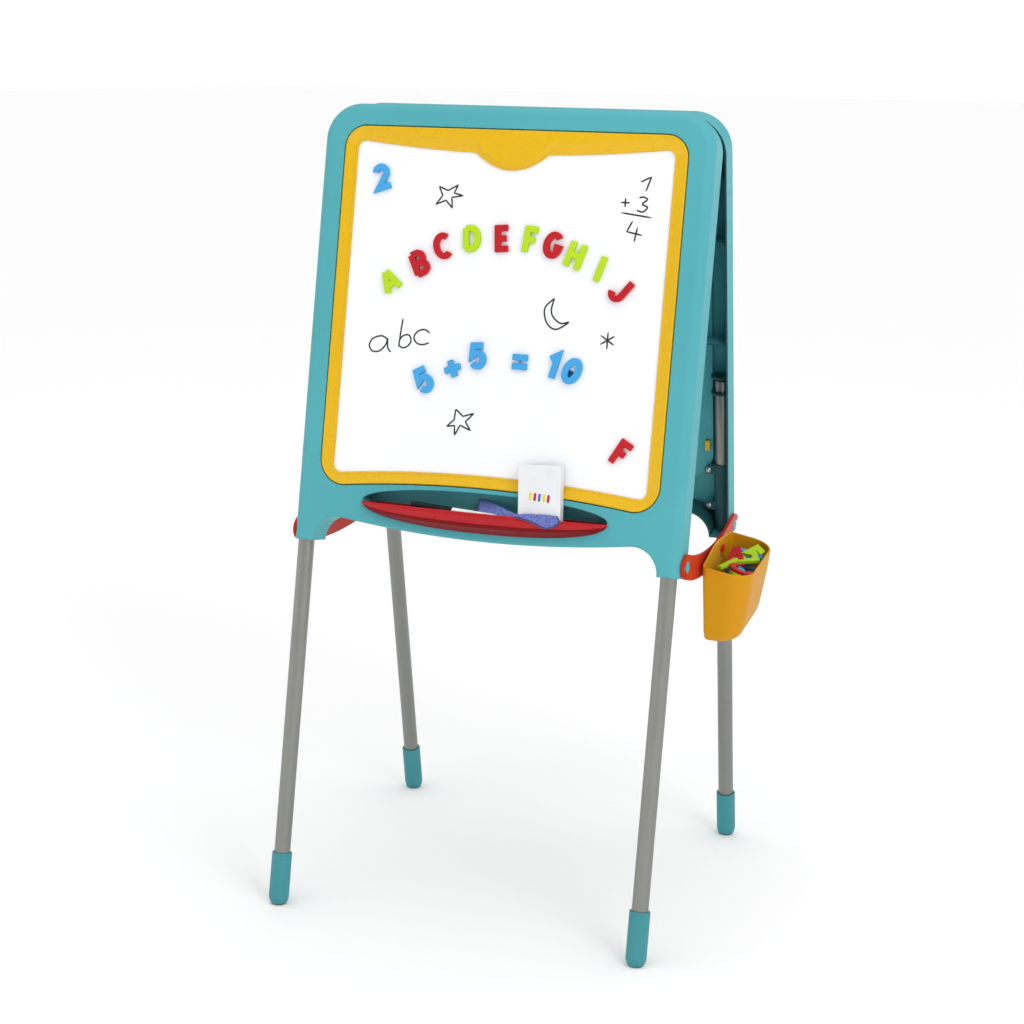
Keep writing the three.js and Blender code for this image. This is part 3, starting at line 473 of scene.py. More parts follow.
M = {
    "teal": moulded("teal_plastic", 0x53A7AF, 0x4A9CA4, (0.42, 0.54), 0.00006, 0.16),
    # painted shade: a darker teal that stands in for the shade inside the panels, used on the shell's inner faces
    # and the socket covers
    "teal_painted_shade": moulded("teal_plastic_painted_shade", 0x2A5A5F, 0x234F54, (0.45, 0.58), 0.0001, 0.2),
    "teal_foot": moulded("teal_foot_plastic", 0x3F8F97, 0x368188, (0.42, 0.55), 0.0001),
    "teal_stud": moulded("teal_stud_plastic", 0x3FA6B8, 0x3797A8, (0.25, 0.35)),
    "yellow": moulded("yellow_frame_plastic", 0xDEB008, 0xD6A707, (0.24, 0.32), 0.00003, 0.35),
    "bucket": moulded("yellow_bucket_plastic", 0xCE9110, 0xC5860A, (0.42, 0.55), 0.00008, 0.14),
    "red": moulded("red_plastic", 0xB01019, 0x9E0C14, (0.26, 0.36), 0.00004),
    # painted shade: a deeper red for the lip's turned-under face, standing in for the shade under the lip
    "red_painted_shade": moulded("red_plastic_painted_shade", 0x7A0D13, 0x6C0A10, (0.36, 0.46), 0.00004, 0.1),
    "stay": moulded("stay_red_plastic", 0xC42C14, 0xB4240F, (0.3, 0.4), 0.00004, 0.12),
    # dark colour for the lowest 1.6 mm of each foot, at the floor
    "dark_sole": moulded("dark_foot_sole", 0x2A2625, 0x1D1A1A, (0.6, 0.75), 0.00012),
    "marker_black": moulded("marker_black_plastic", 0x060607, 0x0D0D0E, (0.24, 0.34), 0.00004, 0.2),
    "marker_white": moulded("marker_white_plastic", 0xF4F4F4, 0xE9E9EA, (0.26, 0.36)),
    "magnet_red": moulded("magnet_red_plastic", 0xBE0D1C, 0xA80A16, (0.38, 0.5), 0.0001),
    "magnet_lime": moulded("magnet_lime_plastic", 0xB4D814, 0xA3C80E, (0.38, 0.5), 0.0001),
    "magnet_blue": moulded("magnet_blue_plastic", 0x42A2DC, 0x3492CE, (0.38, 0.5), 0.0001),
}
M = {key: look.material for key, look in M.items()}


def steel_tube():
    """Silver lacquer over drawn tube, with the draw lines running along the leg."""
    look = Look("leg_tube_lacquer", 0x8A8B86, 0.36, 0.85)
    look.mottle(look.noise(14, 3), 0x83847F, (0.0, 0.6))
    look.rough(look.noise(500, 3, 0.6, (1, 0.1, 0.03)), 0.3, 0.42)
    look.bump(look.noise(900, 2, 0.5), 0.00003, 0.4)
    return look.material


def zinc():
    look = Look("zinc_plate", 0xC9CACB, 0.28, 1.0)
    look.mottle(look.noise(420, 3), 0xA9AAA6, (0.0, 0.7))
    look.rough(look.noise(700, 4, 0.7), 0.2, 0.4)
    look.bump(look.noise(1600, 2), 0.00002, 0.4)
    return look.material


def enamel():
    """Whiteboard: gloss white enamel with faint wiped marker haze."""
    look = Look("white_enamel", 0xF6F7FA, 0.12, 0.0, Coat_Weight=0.5, Coat_Roughness=0.05)
    look.mottle(look.noise(7, 4, 0.6), 0xF1F3F8, (0.0, 0.8))
    look.rough(look.noise(18, 5, 0.7, (1, 1, 3)), 0.1, 0.2)
    look.bump(look.noise(300, 2), 0.00001, 0.3)
    return look.material


def slate():
    """Chalkboard: matt dark paint with dusty wiped streaks."""
    look = Look("chalkboard_paint", 0x25292A, 0.85)
    dust = look.noise(16, 6, 0.7, (1.0, 1.0, 0.35))
    look.mottle(dust, 0x454B4C, (0.0, 0.75))
    look.rough(look.noise(90, 4), 0.75, 0.95)
    look.bump(look.noise(3000, 3, 0.7), 0.00008, 0.7)
    return look.material


def towelling():
    """Terry cloth: looped pile with short fibres; the loop tops are painted lighter as a painted highlight, with
    painted shade between the loops.
    """
    look = Look("terry_cloth", 0x505CA2, 0.95, Sheen_Weight=0.6, Sheen_Roughness=0.5)
    look.shader.inputs["Sheen Tint"].default_value = linear(0x9AA4DC)
    loops = look.add("ShaderNodeTexVoronoi", feature="F1")
    loops.inputs["Scale"].default_value = 620
    look.link(look.place, loops.inputs["Vector"])
    # painted highlight on the loop tops and painted shade between the loops
    look.mottle(loops.outputs["Distance"], 0x7D88CA, (0.75, 0.0))
    look.bump(loops.outputs["Distance"], 0.0006, 0.9)
    look.bump(look.noise(2400, 3, 0.7), 0.0003, 0.6)
    return look.material


def hem_thread():
    """Overlocked edge of the cloth: darker twisted thread."""
    look = Look("overlock_thread", 0x1F2858, 0.8, Sheen_Weight=0.3, Sheen_Roughness=0.5)
    look.mottle(look.noise(900, 3), 0x434E90, (0.0, 0.8))
    look.rough(look.noise(500, 3), 0.7, 0.9)
    look.bump(look.noise(1500, 3, 0.6), 0.0003, 0.8)
    return look.material


def coated_board(name, colour, deeper):
    """Clay-coated carton board with a faint fibre bump."""
    look = Look(name, colour, 0.45, Coat_Weight=0.1, Coat_Roughness=0.3)
    look.mottle(look.noise(40, 4), deeper, (0.0, 0.6))
    look.rough(look.noise(200, 3), 0.38, 0.55)
    look.bump(look.noise(900, 3, 0.7), 0.00006, 0.5)
    return look.material


def ink(name, colour):
    look = Look(name, colour, 0.35)
    look.mottle(look.noise(260, 3), 0x2A2A2C, (0.0, 0.5))
    look.rough(look.noise(400, 3), 0.25, 0.5)
    return look.material


M["tube"] = steel_tube()
M["steel"] = zinc()
M["whiteboard"] = enamel()
M["chalkboard"] = slate()
M["cloth"] = towelling()
M["carton"] = coated_board("carton_board", 0xE4E5E8, 0xDADBDF)
M["ink"] = ink("marker_ink", 0x131314)
M["yellow_ink"] = coated_board("yellow_print", 0xE8D21E, 0xD9C216)
M["red_ink"] = coated_board("red_print", 0xC01A2A, 0xAE1423)
M["blue_ink"] = coated_board("blue_print", 0x3A74C4, 0x2F66B2)
M["hem"] = hem_thread()


def repaint(node, material, angle=32):
    """A CAD node that keeps its shape gets its own finish and smooth shading."""
    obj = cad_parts[node]
    obj.data.materials.clear()
    obj.data.materials.append(M[material])
    finish_mesh(obj.data, angle)


# ------------------------------------------------------------------ panel moulding
def stud_place():
    """Where the stay's stud sits in a panel's own (v, w)."""
    drop = STUD["z"] - HINGE_Z
    return -STUD["y"] * SIN + drop * COS, STUD["y"] * COS + drop * SIN


def hinge_ear(u0, u1):
    lean = 0.2
    outline = [(BOARD_W - 4, -EAR["r"] - 12), (BOARD_W - 4, PANEL_TOP - 2), (RIM_W + 14, PANEL_TOP - 2)]
    outline += arc(0, 0, EAR["r"], EAR["r"], math.pi / 2 + lean, 1.5 * math.pi - lean, 16)
    return across(outline, u0, u1)


def panel_mesh(ears):
    far = 120
    outer = layered(tall_outline, rounded_levels(RIM_W - 20, FACE_W, EDGE_R, 9))
    arches = layered(arched_outline, rounded_levels(RIM_W - 20, FACE_W, 3.5, 4))
    behind = box(-far * 3, far * 3, -1000, far, RIM_W, far)
    envelope = combine(combine(outer, [arches], "INTERSECT"), [behind], "INTERSECT")
    hollow_r = EDGE_R - WALL
    hollow = layered(
        lambda inset: tall_outline(WALL + inset),
        rounded_levels(RIM_W - 20, FACE_W - WALL, hollow_r, 7),
    )
    hollow = combine(hollow, [prism(arched_outline(WALL), RIM_W - 21, FACE_W)], "INTERSECT")
    inside = HALF_WIDTH - 1
    seat_back = BOARD_W - BOARD_T - GAP - WALL - 0.5
    structure = [
        prism(bowed_outline(SEAM, GROOVE + WALL), seat_back, FACE_W - 1),
        prism(tray_outline(WALL), TRAY["back"] - WALL, FACE_W - 1),
    ]
    structure += [box(-inside, inside, v - 1.2, v + 1.2, RIM_W + 5, FACE_W - 1) for v in RIB_V]
    for side in (-1, 1):
        structure += [bar_v(16, v - 1.3, v + 1.3, side * LEG["u"], LEG["w"]) for v in GUIDE_V]
        structure += [bar_w(5.5, 30.3, FACE_W - 1, side * SCREW_U, v) for v in SCREW_V]
    structure = combine(union(structure), [envelope.copy()], "INTERSECT")
    body = combine(envelope, [hollow])
    lugs = [hinge_ear(u0, u1) for a, b in ears for u0, u1 in ((a, b), (-b, -a))]
    body = combine(body, [structure] + lugs, "UNION")
    cuts = [
        layered(lambda g: bowed_outline(SEAM, GROOVE + g),
                flared_levels(BOARD_W - BOARD_T - GAP, FACE_W, 0.9, far)),
        layered(tray_outline, flared_levels(TRAY["back"], FACE_W, 1.6, far)),
        bar_x(PIN_R + GAP, -HALF_WIDTH + 60, HALF_WIDTH - 60, 0, 0, 24),
    ]
    stud_v, stud_w = stud_place()
    for side in (-1, 1):
        cuts.append(bar_v(LEG["r"] + GAP, PANEL_BOTTOM - 10, LEG["top"] + 1, side * LEG["u"], LEG["w"]))
        cuts += [bar_w(2, 28, 43, side * SCREW_U, v, 16) for v in SCREW_V]
        u0, u1 = sorted((side * LEG["u"], side * (HALF_WIDTH + 5)))
        cuts.append(bar_x(STUD["neck"] + GAP, u0, u1, stud_v, stud_w))
    for side, v in CATCHES:
        u0, u1 = sorted((side * (CATCH["u"] - 0.5), side * (CATCH["u"] + CATCH["stem"] + 1.4)))
        cuts.append(box(u0, u1, v - CATCH["half"] - 1, v + CATCH["half"] + 1, seat_back - 5, BOARD_W))
    return combine(body, cuts)


# ------------------------------------------------------------------ frame and tray
# Frame section from the board outwards: a thin bead, a shallow dip, then a land that rises to the seam.
FRAME_SECTION = [
    (0, 40), (0, 45.7), (0.35, 46.4), (1.0, 46.75), (1.9, 46.7), (2.8, 46.25), (3.7, 46.15),
    (5.0, 46.5), (8.0, 47.4), (11.0, 48.3), (13.0, 48.9), (14.6, 49.25), (15.2, 49.4), (15.2, 70),
]


def frame_mesh():
    top = [(2.2 * (1 - math.cos(t)), FRAME_W - 2.2 * (1 - math.sin(t)))
           for t in [i / 7 * math.pi / 2 for i in range(8)]]
    levels = [(0.4, BOARD_W + GAP), (0, BOARD_W + GAP + 0.4)] + top
    ring = layered(lambda inset: bowed_outline(SEAM, -GROOVE - inset), levels)
    ring = combine(ring, [layered(lambda g: bowed_outline(OPENING, g, TAB), FRAME_SECTION)])
    catches = []
    for side, v in CATCHES:
        for reach, w1 in ((CATCH["stem"], BOARD_W + 3), (CATCH["barb"], CATCH["barb_w"])):
            u0, u1 = sorted((side * CATCH["u"], side * (CATCH["u"] + reach)))
            catches.append(box(u0, u1, v - CATCH["half"], v + CATCH["half"], CATCH["back"], w1))
    return combine(ring, catches, "UNION")


def swept(profile, half, v, w, steps=72):
    """Body along the tray: a (down, out) profile that shrinks to nothing at both ends."""
    rings = []
    for i in range(steps + 1):
        t = -math.cos(math.pi * i / steps) * 0.9995
        size = (1 - abs(t) ** LIP["power"]) ** (1 / LIP["power"])
        rings.append([(half * t, v - (down + LIP["sink"]) * size, w + out * size) for down, out in profile])
    return loft(rings)


LIP_SECTION = [
    (0, 0), (0, 21.6), (0.25, 22.9), (0.9, 23.5), (2.4, 23.9), (5.5, 24), (10, 23.7), (14, 22.9), (17, 21.6),
    (18.6, 20.4), (19.6, 19.2), (20.6, 17.2), (22.6, 13.2), (24.8, 8.8), (26.6, 4.4), (28, 0),
]
POCKET_SECTION = [
    (-8, -1), (-8, 21.2), (0, 21.2), (1.0, 20.6), (5, 20.2), (10, 18.6), (14, 14.4), (16.8, 8.0), (18, 0), (18, -1),
]


def tray_mesh():
    edge = TRAY["v"] - 2
    lip = swept(LIP_SECTION, TRAY["half"] + LIP["flange"], edge, FACE_W + GAP)
    shelf = prism(trough_outline(-6, TRAY["down"] - 5), TRAY["back"] + GAP, FACE_W + 1)
    pocket = swept(POCKET_SECTION, TRAY["half"] - 1.5, edge, FACE_W + GAP)
    dip = prism(trough_outline(-8.5, TROUGH_DEPTH), TRAY["back"] + WALL, FACE_W + 1.2)
    return combine(combine(lip, [shelf], "UNION"), [pocket, dip])


def within_tray(u, v):
    """True where the tray's recess is, seen from the front."""
    reach = TRAY["up"] if v > TRAY["v"] else TRAY["down"]
    return (u / (TRAY["half"] + 2)) ** 2 + ((v - TRAY["v"]) / (reach + 2)) ** 2 < 1


def paint_shade_inside(mesh, into_panel):
    """The shell's inner faces get the second, darker teal as painted shade; walls seen from outside keep the first.
    """
    mesh.materials.append(M["teal_painted_shade"])
    turn = into_panel.to_3x3()
    for face in mesh.polygons:
        u, v, w = into_panel @ face.center
        normal = (turn @ face.normal).normalized()
        over_u = max(0, abs(u) - (HALF_WIDTH - CORNER_R))
        over_v = max(0, v - (PANEL_TOP - CORNER_R))
        edge = over_u if not over_v else over_v if not over_u else math.hypot(over_u, over_v)
        on_arch = math.hypot(abs(u) - ARCH["u"], v - ARCH["v"]) < ARCH["r"] + 0.8
        on_sole = v < -500 and normal.y < -0.6
        behind = w < FACE_W - EDGE_R and normal.z < 0.3
        recess = within_tray(u, v) and w > TRAY["back"] - 0.5
        if behind and edge < CORNER_R - 0.6 and not (on_arch or on_sole or recess):
            face.material_index = 1


def paint_shade_under(mesh, into_panel):
    """The lip's turned-under lower face gets a deeper red as painted shade."""
    mesh.materials.append(M["red_painted_shade"])
    turn = into_panel.to_3x3()
    for face in mesh.polygons:
        normal = (turn @ face.normal).normalized()
        if (into_panel @ face.center).z > FACE_W and normal.y < -0.35:
            face.material_index = 1


def build_side(name, matrix, ears):
    """One panel with its frame and tray; its own left and right are turned round on the rear side."""
    angle = 28
    panel = piece(f"{name}_panel_moulding", panel_mesh(ears), matrix.copy(), M["teal"], name,
                  [f"{name}_panel"], angle)
    # the shell's inner faces take the darker teal as painted shade
    panel.data.materials.append(M["teal_painted_shade"])
    paint_shade_inside(panel.data, matrix.inverted())
    piece(f"{name}_frame_moulding", frame_mesh(), matrix.copy(), M["yellow"], name,
          [f"{name}_frame"], angle)
    tray = piece(f"{name}_tray_moulding", tray_mesh(), matrix.copy(), M["red"], name,
                 [f"{name}_tray"], 40)
    # the lip's underside takes the deeper red as painted shade
    paint_shade_under(tray.data, matrix.inverted())


# ------------------------------------------------------------------ legs
def leg_mesh():
    r, bore, top, bottom = LEG["r"], LEG["r"] - LEG["wall"], LEG["top"], LEG["bottom"]
    return ring_lathe([
        (r, bottom + 0.4), (r, top - 0.5), (r - 0.4, top), (bore + 0.2, top), (bore, top - 0.3),
        (bore, bottom + 0.3), (bore + 0.3, bottom), (r - 0.4, bottom),
    ], 56)


def foot_mesh(low_cut, high_cut):
    """Foot cap between two level cuts; the lowest slice, at the floor, is coloured dark."""
    bore = LEG["r"] + GAP
    r, top = FOOT["r"], FOOT["top"]
    low = FOOT["floor"] - FOOT["below"]
    profile = [(0, low)]
    profile += [(r - FOOT["inset"] * (1 - math.sin(t)), low + FOOT["rise"] * (1 - math.cos(t)))
                for t in [i / 12 * math.pi / 2 for i in range(13)]]
    profile += [
        (r, top - 5.2), (r - 0.35, top - 4.8), (r - 0.35, top - 4.2), (r, top - 3.8), (r, top - 1.4),
        (r - 0.3, top - 0.6), (r - 1.0, top - 0.1), (bore + 0.9, top), (bore, top - 0.5), (bore, LEG["bottom"] - 1),
        (0, LEG["bottom"] - 1),
    ]
    cap = lathe(profile, 56)
    # The floor is level, so the cuts lean against the cap's own axis.
    keep = box(-60, 60, -60, 60, low_cut, high_cut)
    keep.transform(Matrix.Translation((0, FOOT["floor"], 0)) @ Matrix.Rotation(LEAN - math.pi / 2, 4, "X"))
    return combine(cap, [keep], "INTERSECT")


def cover_mesh(side):
    """Half sleeve that closes the leg socket from behind, with two screw tabs."""
    u = side * LEG["u"]
    tabs = []
    for v in SCREW_V:
        u0, u1 = sorted((side * (LEG["u"] - 9), side * SCREW_U))
        tabs += [box(u0, u1, v - 6, v + 6, 26.5, 30), bar_w(6, 26.5, 30, side * SCREW_U, v)]
    u0, u1 = sorted((side * (LEG["u"] - 20), side * (HALF_WIDTH - WALL - GAP)))
    half = box(u0, u1, COVER["bottom"], COVER["top"], 0, LEG["w"] - 1)
    sleeve = combine(bar_v(COVER["r"], COVER["bottom"], COVER["top"], u, LEG["w"]), [half], "INTERSECT")
    sleeve = combine(sleeve, tabs, "UNION")
    cuts = [
        bar_v(LEG["r"] + GAP, COVER["bottom"] - 10, COVER["top"] + 10, u, LEG["w"]),
        bar_w(ARCH["r"] + WALL + 2 * GAP, 0, FACE_W, side * ARCH["u"], ARCH["v"], 64),
    ]
    cuts += [bar_w(2, 20, 34, side * SCREW_U, v, 16) for v in SCREW_V]
    return combine(sleeve, cuts)


def screw_mesh():
    """Pan head with a cross recess, its axis along w and its seat at w = 0."""
    head = lathe([(0, -2.6), (1.6, -2.6), (2.9, -2.2), (3.9, -1.4), (4.35, -0.5), (4.4, 0), (1.6, 0.01),
                  (1.6, 10), (0.9, 11.5), (0, 11.5)], 32)
    arms = [box(-2.4, 2.4, -3.2, -1.3, -0.45, 0.45), box(-0.45, 0.45, -3.2, -1.3, -2.4, 2.4)]
    return moved(combine(head, [union(arms)]), Matrix.Rotation(math.pi / 2, 4, "X"))


def stud_mesh():
    inner = LEG["u"] + 10.6
    r, neck, face = STUD["r"], STUD["neck"], STUD["face"]
    seat = HALF_WIDTH + GAP
    profile = [
        (0, inner), (neck, inner), (neck, seat), (r - 0.3, seat), (r, seat + 0.3), (r, face - 1.2),
        (r - 0.25, face - 0.5), (r - 0.9, face - 0.1), (r - 1.6, face),
        (r - 2.2, face - 0.35), (r - 3.0, face - 0.45),
        (0, face - 0.3),
    ]
    return moved(lathe(profile), Matrix.Rotation(-math.pi / 2, 4, "Z"))


def build_legs(name, matrix, turned):
    stud_v, stud_w = stud_place()
    for hand, side in (("left", -1), ("right", 1)):
        own = -side if turned else side
        at = matrix @ Matrix.Translation((own * LEG["u"], 0, LEG["w"]))
        tag = f"{name}_{hand}"
        piece(f"{tag}_leg_tube", leg_mesh(), at, M["tube"], name, [f"{tag}_leg"])
        piece(f"{tag}_foot_cap", foot_mesh(FOOT["sole"], 100), at, M["teal_foot"], name, [f"{tag}_foot"])
        # the foot's lowest slice at the floor, in the dark colour
        piece(f"{tag}_foot_sole", foot_mesh(0, FOOT["sole"]), at, M["dark_sole"], name, ())
        # the socket covers take the darker teal as painted shade
        piece(f"{tag}_cover", cover_mesh(own), matrix.copy(), M["teal_painted_shade"], name,
              [f"{tag}_socket_cover"])
        for i, v in enumerate(SCREW_V):
            spot = matrix @ Matrix.Translation((own * SCREW_U, v, 26.5 - GAP)) @ Matrix.Rotation(0.4 + i, 4, "Z")
            piece(f"{tag}_cross_screw_{i + 1}", screw_mesh(), spot, M["steel"], name,
                  [f"{tag}_screw_{i + 1}"])
        spin = Matrix.Rotation(0 if own > 0 else math.pi, 4, "Y")
        spot = matrix @ Matrix.Translation((0, stud_v, stud_w)) @ spin
        piece(f"{tag}_stay_stud", stud_mesh(), spot, M["teal_stud"], name, [f"{tag}_stud"])


# ------------------------------------------------------------------ stays
def stay_outline():
    """Smile-shaped plate between the studs, in the easel's (y, z)."""
    y, z, ry, rz = STUD["y"], STUD["z"], STAY["end_y"], STAY["end_z"]
    start, finish = 1.2, -2.25
    top_y, top_z = y - ry * math.cos(start), z + rz * math.sin(start)
    low_y, low_z = y - ry * math.cos(finish), z + rz * math.sin(finish)
    hook_y, hook_z = y + ry * math.cos(finish + 1.5), z + rz * math.sin(finish + 1.5)
    return joined(
        bezier([(-top_y, top_z), (-84, 512), (-44, 505), (0, 505)], 24),
        bezier([(0, 505), (44, 505), (84, 512), (top_y, top_z)], 24),
        arc(y, z, ry, rz, math.pi - start, finish + 1.5, 28),
        bezier([(hook_y, hook_z), (112, 484), (70, 475.5), (0, 475.5)], 24),
        bezier([(0, 475.5), (-70, 475.5), (-112, 484), (-low_y, low_z)], 24),
        arc(-y, z, ry, rz, finish, start - math.tau, 48),
    )


def stud_path(share):
    """Rear stud's centre as the stay sees it, while the panels fold and the stay swings up."""
    fold = share * 2 * LEAN
    swing = share * (math.pi / 2 - LEAN)
    drop = STUD["z"] - HINGE_Z
    y = STUD["y"] * math.cos(fold) + drop * math.sin(fold)
    z = HINGE_Z - STUD["y"] * math.sin(fold) + drop * math.cos(fold)
    dy, dz = y + STUD["y"], z - STUD["z"]
    return (-STUD["y"] + dy * math.cos(swing) + dz * math.sin(swing),
            STUD["z"] - dy * math.sin(swing) + dz * math.cos(swing))


def mouth_outline():
    """Open mouth of the rear hook: the stud's way out, and everything behind and below it."""
    r, y, z = STAY["open_r"], STUD["y"], STUD["z"]
    left = []
    for i in range(29):
        here = Vector(stud_path(i / 28 * 0.32))
        ahead = (Vector(stud_path(i / 28 * 0.32 + 0.001)) - here).normalized()
        left.append((here.x + ahead.y * r, here.y - ahead.x * r))
    tip, far = 0.42, 70
    enter = math.atan2(left[0][1] - z, left[0][0] - y) % math.tau
    return joined(
        [(y + far, z - far), (y + far, z + far * math.tan(tip))],
        arc(y, z, r, r, tip, enter, 30),
        left[1:],
    )


def stay_mesh(side, has_hook):
    x0, x1 = sorted((side * STAY["x"], side * (STAY["x"] + STAY["thickness"])))
    slit_y = -STUD["y"] - STUD["r"] - 1
    slit = joined(
        [(slit_y - 3.6, STUD["z"] - 40), (slit_y + 1.4, STUD["z"] - 40)],
        arc(slit_y - 1.1, STUD["z"] + 7, 2.5, 2.5, 0, math.pi, 12),
    )
    body = combine(sideways(stay_outline(), x0, x1), [
        sideways(mouth_outline(), x0 - 5, x1 + 5),
        bar_x(STAY["open_r"], x0 - 5, x1 + 5, -STUD["y"], STUD["z"], 48),
        sideways(slit, x0 - 5, x1 + 5),
    ])
    body = softened(body, 0.9, 3, 60)
    if has_hook:
        y0, y1, z = HOOK["y"] - HOOK["half"], HOOK["y"] + HOOK["half"], HOOK["z"]
        body = combine(body, [
            box(x1 - 1, HOOK["x"] + HOOK["thickness"], y0, y1, z, z + HOOK["rise"]),
            box(HOOK["x"], HOOK["x"] + HOOK["thickness"], y0, y1, z, z + HOOK["lip"]),
        ], "UNION")
    return body


# ------------------------------------------------------------------ bucket
def bucket_plan(reach, half, shrink):
    """Plan of the bucket at one level: flat back, gently curved outer wall, round corners."""
    x0, x1 = BUCKET["x"] + shrink, BUCKET["x"] + reach - shrink
    y = half - shrink
    r_out, r_back = min((x1 - x0) * 0.5, 30), min((x1 - x0) * 0.25, 7)
    back = [(x0, (y - r_back) * (1 - 2 * i / 12)) for i in range(1, 13)]
    return (
        back
        + arc(x0 + r_back, -y + r_back, r_back, r_back, math.pi, 1.5 * math.pi, 8)[1:]
        + [(x0 + r_back + (x1 - r_out - x0 - r_back) * i / 6, -y) for i in range(1, 6)]
        + arc(x1 - r_out, -y + r_out, r_out, r_out, 1.5 * math.pi, 2 * math.pi, 14)
        + [(x1, (-y + r_out) * (1 - 2 * i / 12)) for i in range(1, 12)]
        + arc(x1 - r_out, y - r_out, r_out, r_out, 0, 0.5 * math.pi, 14)
        + [(x1 - r_out + (x0 + r_back - x1 + r_out) * i / 6, y) for i in range(1, 6)]
        + arc(x0 + r_back, y - r_back, r_back, r_back, 0.5 * math.pi, math.pi, 8)
    )


def bucket_levels(per_span):
    """Smooth run of (z, reach, half) through the given levels."""
    rows = [Vector(row) for row in BUCKET_LEVELS]
    out = []
    for i in range(len(rows) - 1):
        before, a, b, after = rows[max(i - 1, 0)], rows[i], rows[i + 1], rows[min(i + 2, len(rows) - 1)]
        for step in range(per_span):
            t = step / per_span
            out.append(0.5 * (2 * a + (b - before) * t + (2 * before - 5 * a + 4 * b - after) * t * t
                              + (3 * a - before - 3 * b + after) * t ** 3))
    return out + [rows[-1]]


def rim_height(x, y):
    out = x - BUCKET["x"]
    crest = 9 * max(0, 1 - out / 14) * math.cos(math.pi * y / (2 * BUCKET["half"])) ** 2
    return BUCKET["rim_z"] - 0.194 * out + crest


def bucket_mesh():
    """Shell from the bottom up the outside, over the rolled rim and down the inside."""
    wall = BUCKET["wall"]
    levels = bucket_levels(5)
    rings = []

    def ring(reach, half, shrink, z, share):
        plan = bucket_plan(reach, half, shrink)
        return [(x, y, z + (rim_height(x, y) - BUCKET["rim_z"]) * share) for x, y in plan]

    for z, reach, half in levels:
        share = min(1, max(0, (z - 400) / (BUCKET["rim_z"] - 400))) ** 1.5
        if z < BUCKET["rim_z"] - 6:
            rings.append(ring(reach, half, 0, z, share))
    top = BUCKET["rim_z"]
    reach, half = BUCKET["out"], BUCKET["half"]
    bead = [(0.25, -5), (0.0, -3.6), (0.0, -1.2), (0.3, -0.35), (0.95, 0.0), (1.7, -0.3), (2.1, -1.2)]
    rings += [ring(reach, half, shrink, top + dz, 1) for shrink, dz in bead]
    for z, reach, half in reversed(levels):
        share = min(1, max(0, (z - 400) / (BUCKET["rim_z"] - 400))) ** 1.5
        if z < BUCKET["rim_z"] - 6:
            rings.append(ring(reach, half, wall, z + wall * (1 - share), share))
    body = loft(rings)
    y, half = HOOK["y"] - BUCKET["y"], HOOK["half"] + 2
    window = box(BUCKET["x"] - 5, BUCKET["x"] + 5, y - half, y + half,
                 HOOK["z"] - 12.5, HOOK["z"] + HOOK["rise"] + 3 * GAP)
    return combine(body, [softened(window, 1.2, 3)])


HUNG = (
    WORLD @ Matrix.Translation((0, HOOK["y"], HOOK["z"] + HOOK["rise"])) @ Matrix.Rotation(BUCKET["tilt"], 4, "X")
    @ Matrix.Translation((0, BUCKET["y"] - HOOK["y"], -HOOK["z"] - HOOK["rise"]))
)


# ------------------------------------------------------------------ magnets
def curve(cx, cy, rx, ry, start, end, steps):
    return arc(cx, cy, rx, ry, math.radians(start), math.radians(end), steps)


# Strokes of each figure inside the middle lines of a box one unit high, centred on the origin.
GLYPHS = {
    "A": [[(-0.36, -0.5), (-0.03, 0.5)], [(0.36, -0.5), (0.03, 0.5)], [(-0.22, -0.16), (0.22, -0.16)]],
    "B": [
        [(-0.27, -0.5), (-0.27, 0.5)],
        [(-0.27, 0.5), *curve(0.02, 0.25, 0.22, 0.25, 90, -90, 14), (-0.27, 0)],
        [(-0.27, 0), *curve(0.04, -0.25, 0.25, 0.25, 90, -90, 14), (-0.27, -0.5)],
    ],
    "C": [curve(0.04, 0, 0.36, 0.5, 48, 312, 28)],
    "D": [[(-0.28, -0.5), (-0.28, 0.5)], [(-0.28, 0.5), *curve(-0.04, 0, 0.36, 0.5, 90, -90, 20), (-0.28, -0.5)]],
    "E": [[(0.26, 0.5), (-0.26, 0.5), (-0.26, -0.5), (0.26, -0.5)], [(-0.26, 0), (0.18, 0)]],
    "F": [[(0.26, 0.5), (-0.26, 0.5), (-0.26, -0.62)], [(-0.26, 0), (0.16, 0)]],
    "G": [[*curve(0, 0, 0.33, 0.5, 48, 330, 28), (0.31, -0.06), (0.06, -0.06)]],
    "H": [[(-0.28, -0.62), (-0.28, 0.62)], [(0.28, -0.62), (0.28, 0.62)], [(-0.28, 0), (0.28, 0)]],
    "I": [[(0, -0.62), (0, 0.62)]],
    "J": [[(0.2, 0.62), (0.2, -0.22), *curve(-0.06, -0.22, 0.26, 0.28, 0, -165, 16)]],
    "2": [[*curve(0, 0.22, 0.28, 0.28, 165, -38, 20), (-0.28, -0.5), (0.34, -0.5)]],
    "5": [[(0.26, 0.5), (-0.2, 0.5), (-0.25, 0.02), *curve(-0.01, -0.17, 0.29, 0.33, 100, -145, 24)]],
    "1": [[(0.06, -0.62), (0.06, 0.5), (-0.24, 0.24)]],
    "0": [curve(0, 0, 0.3, 0.5, 0, 180, 20), curve(0, 0, 0.3, 0.5, 180, 360, 20)],
    "plus": [[(-0.42, 0), (0.42, 0)], [(0, -0.42), (0, 0.42)]],
    "equals": [[(-0.38, 0.22), (0.38, 0.22)], [(-0.38, -0.22), (0.38, -0.22)]],
}
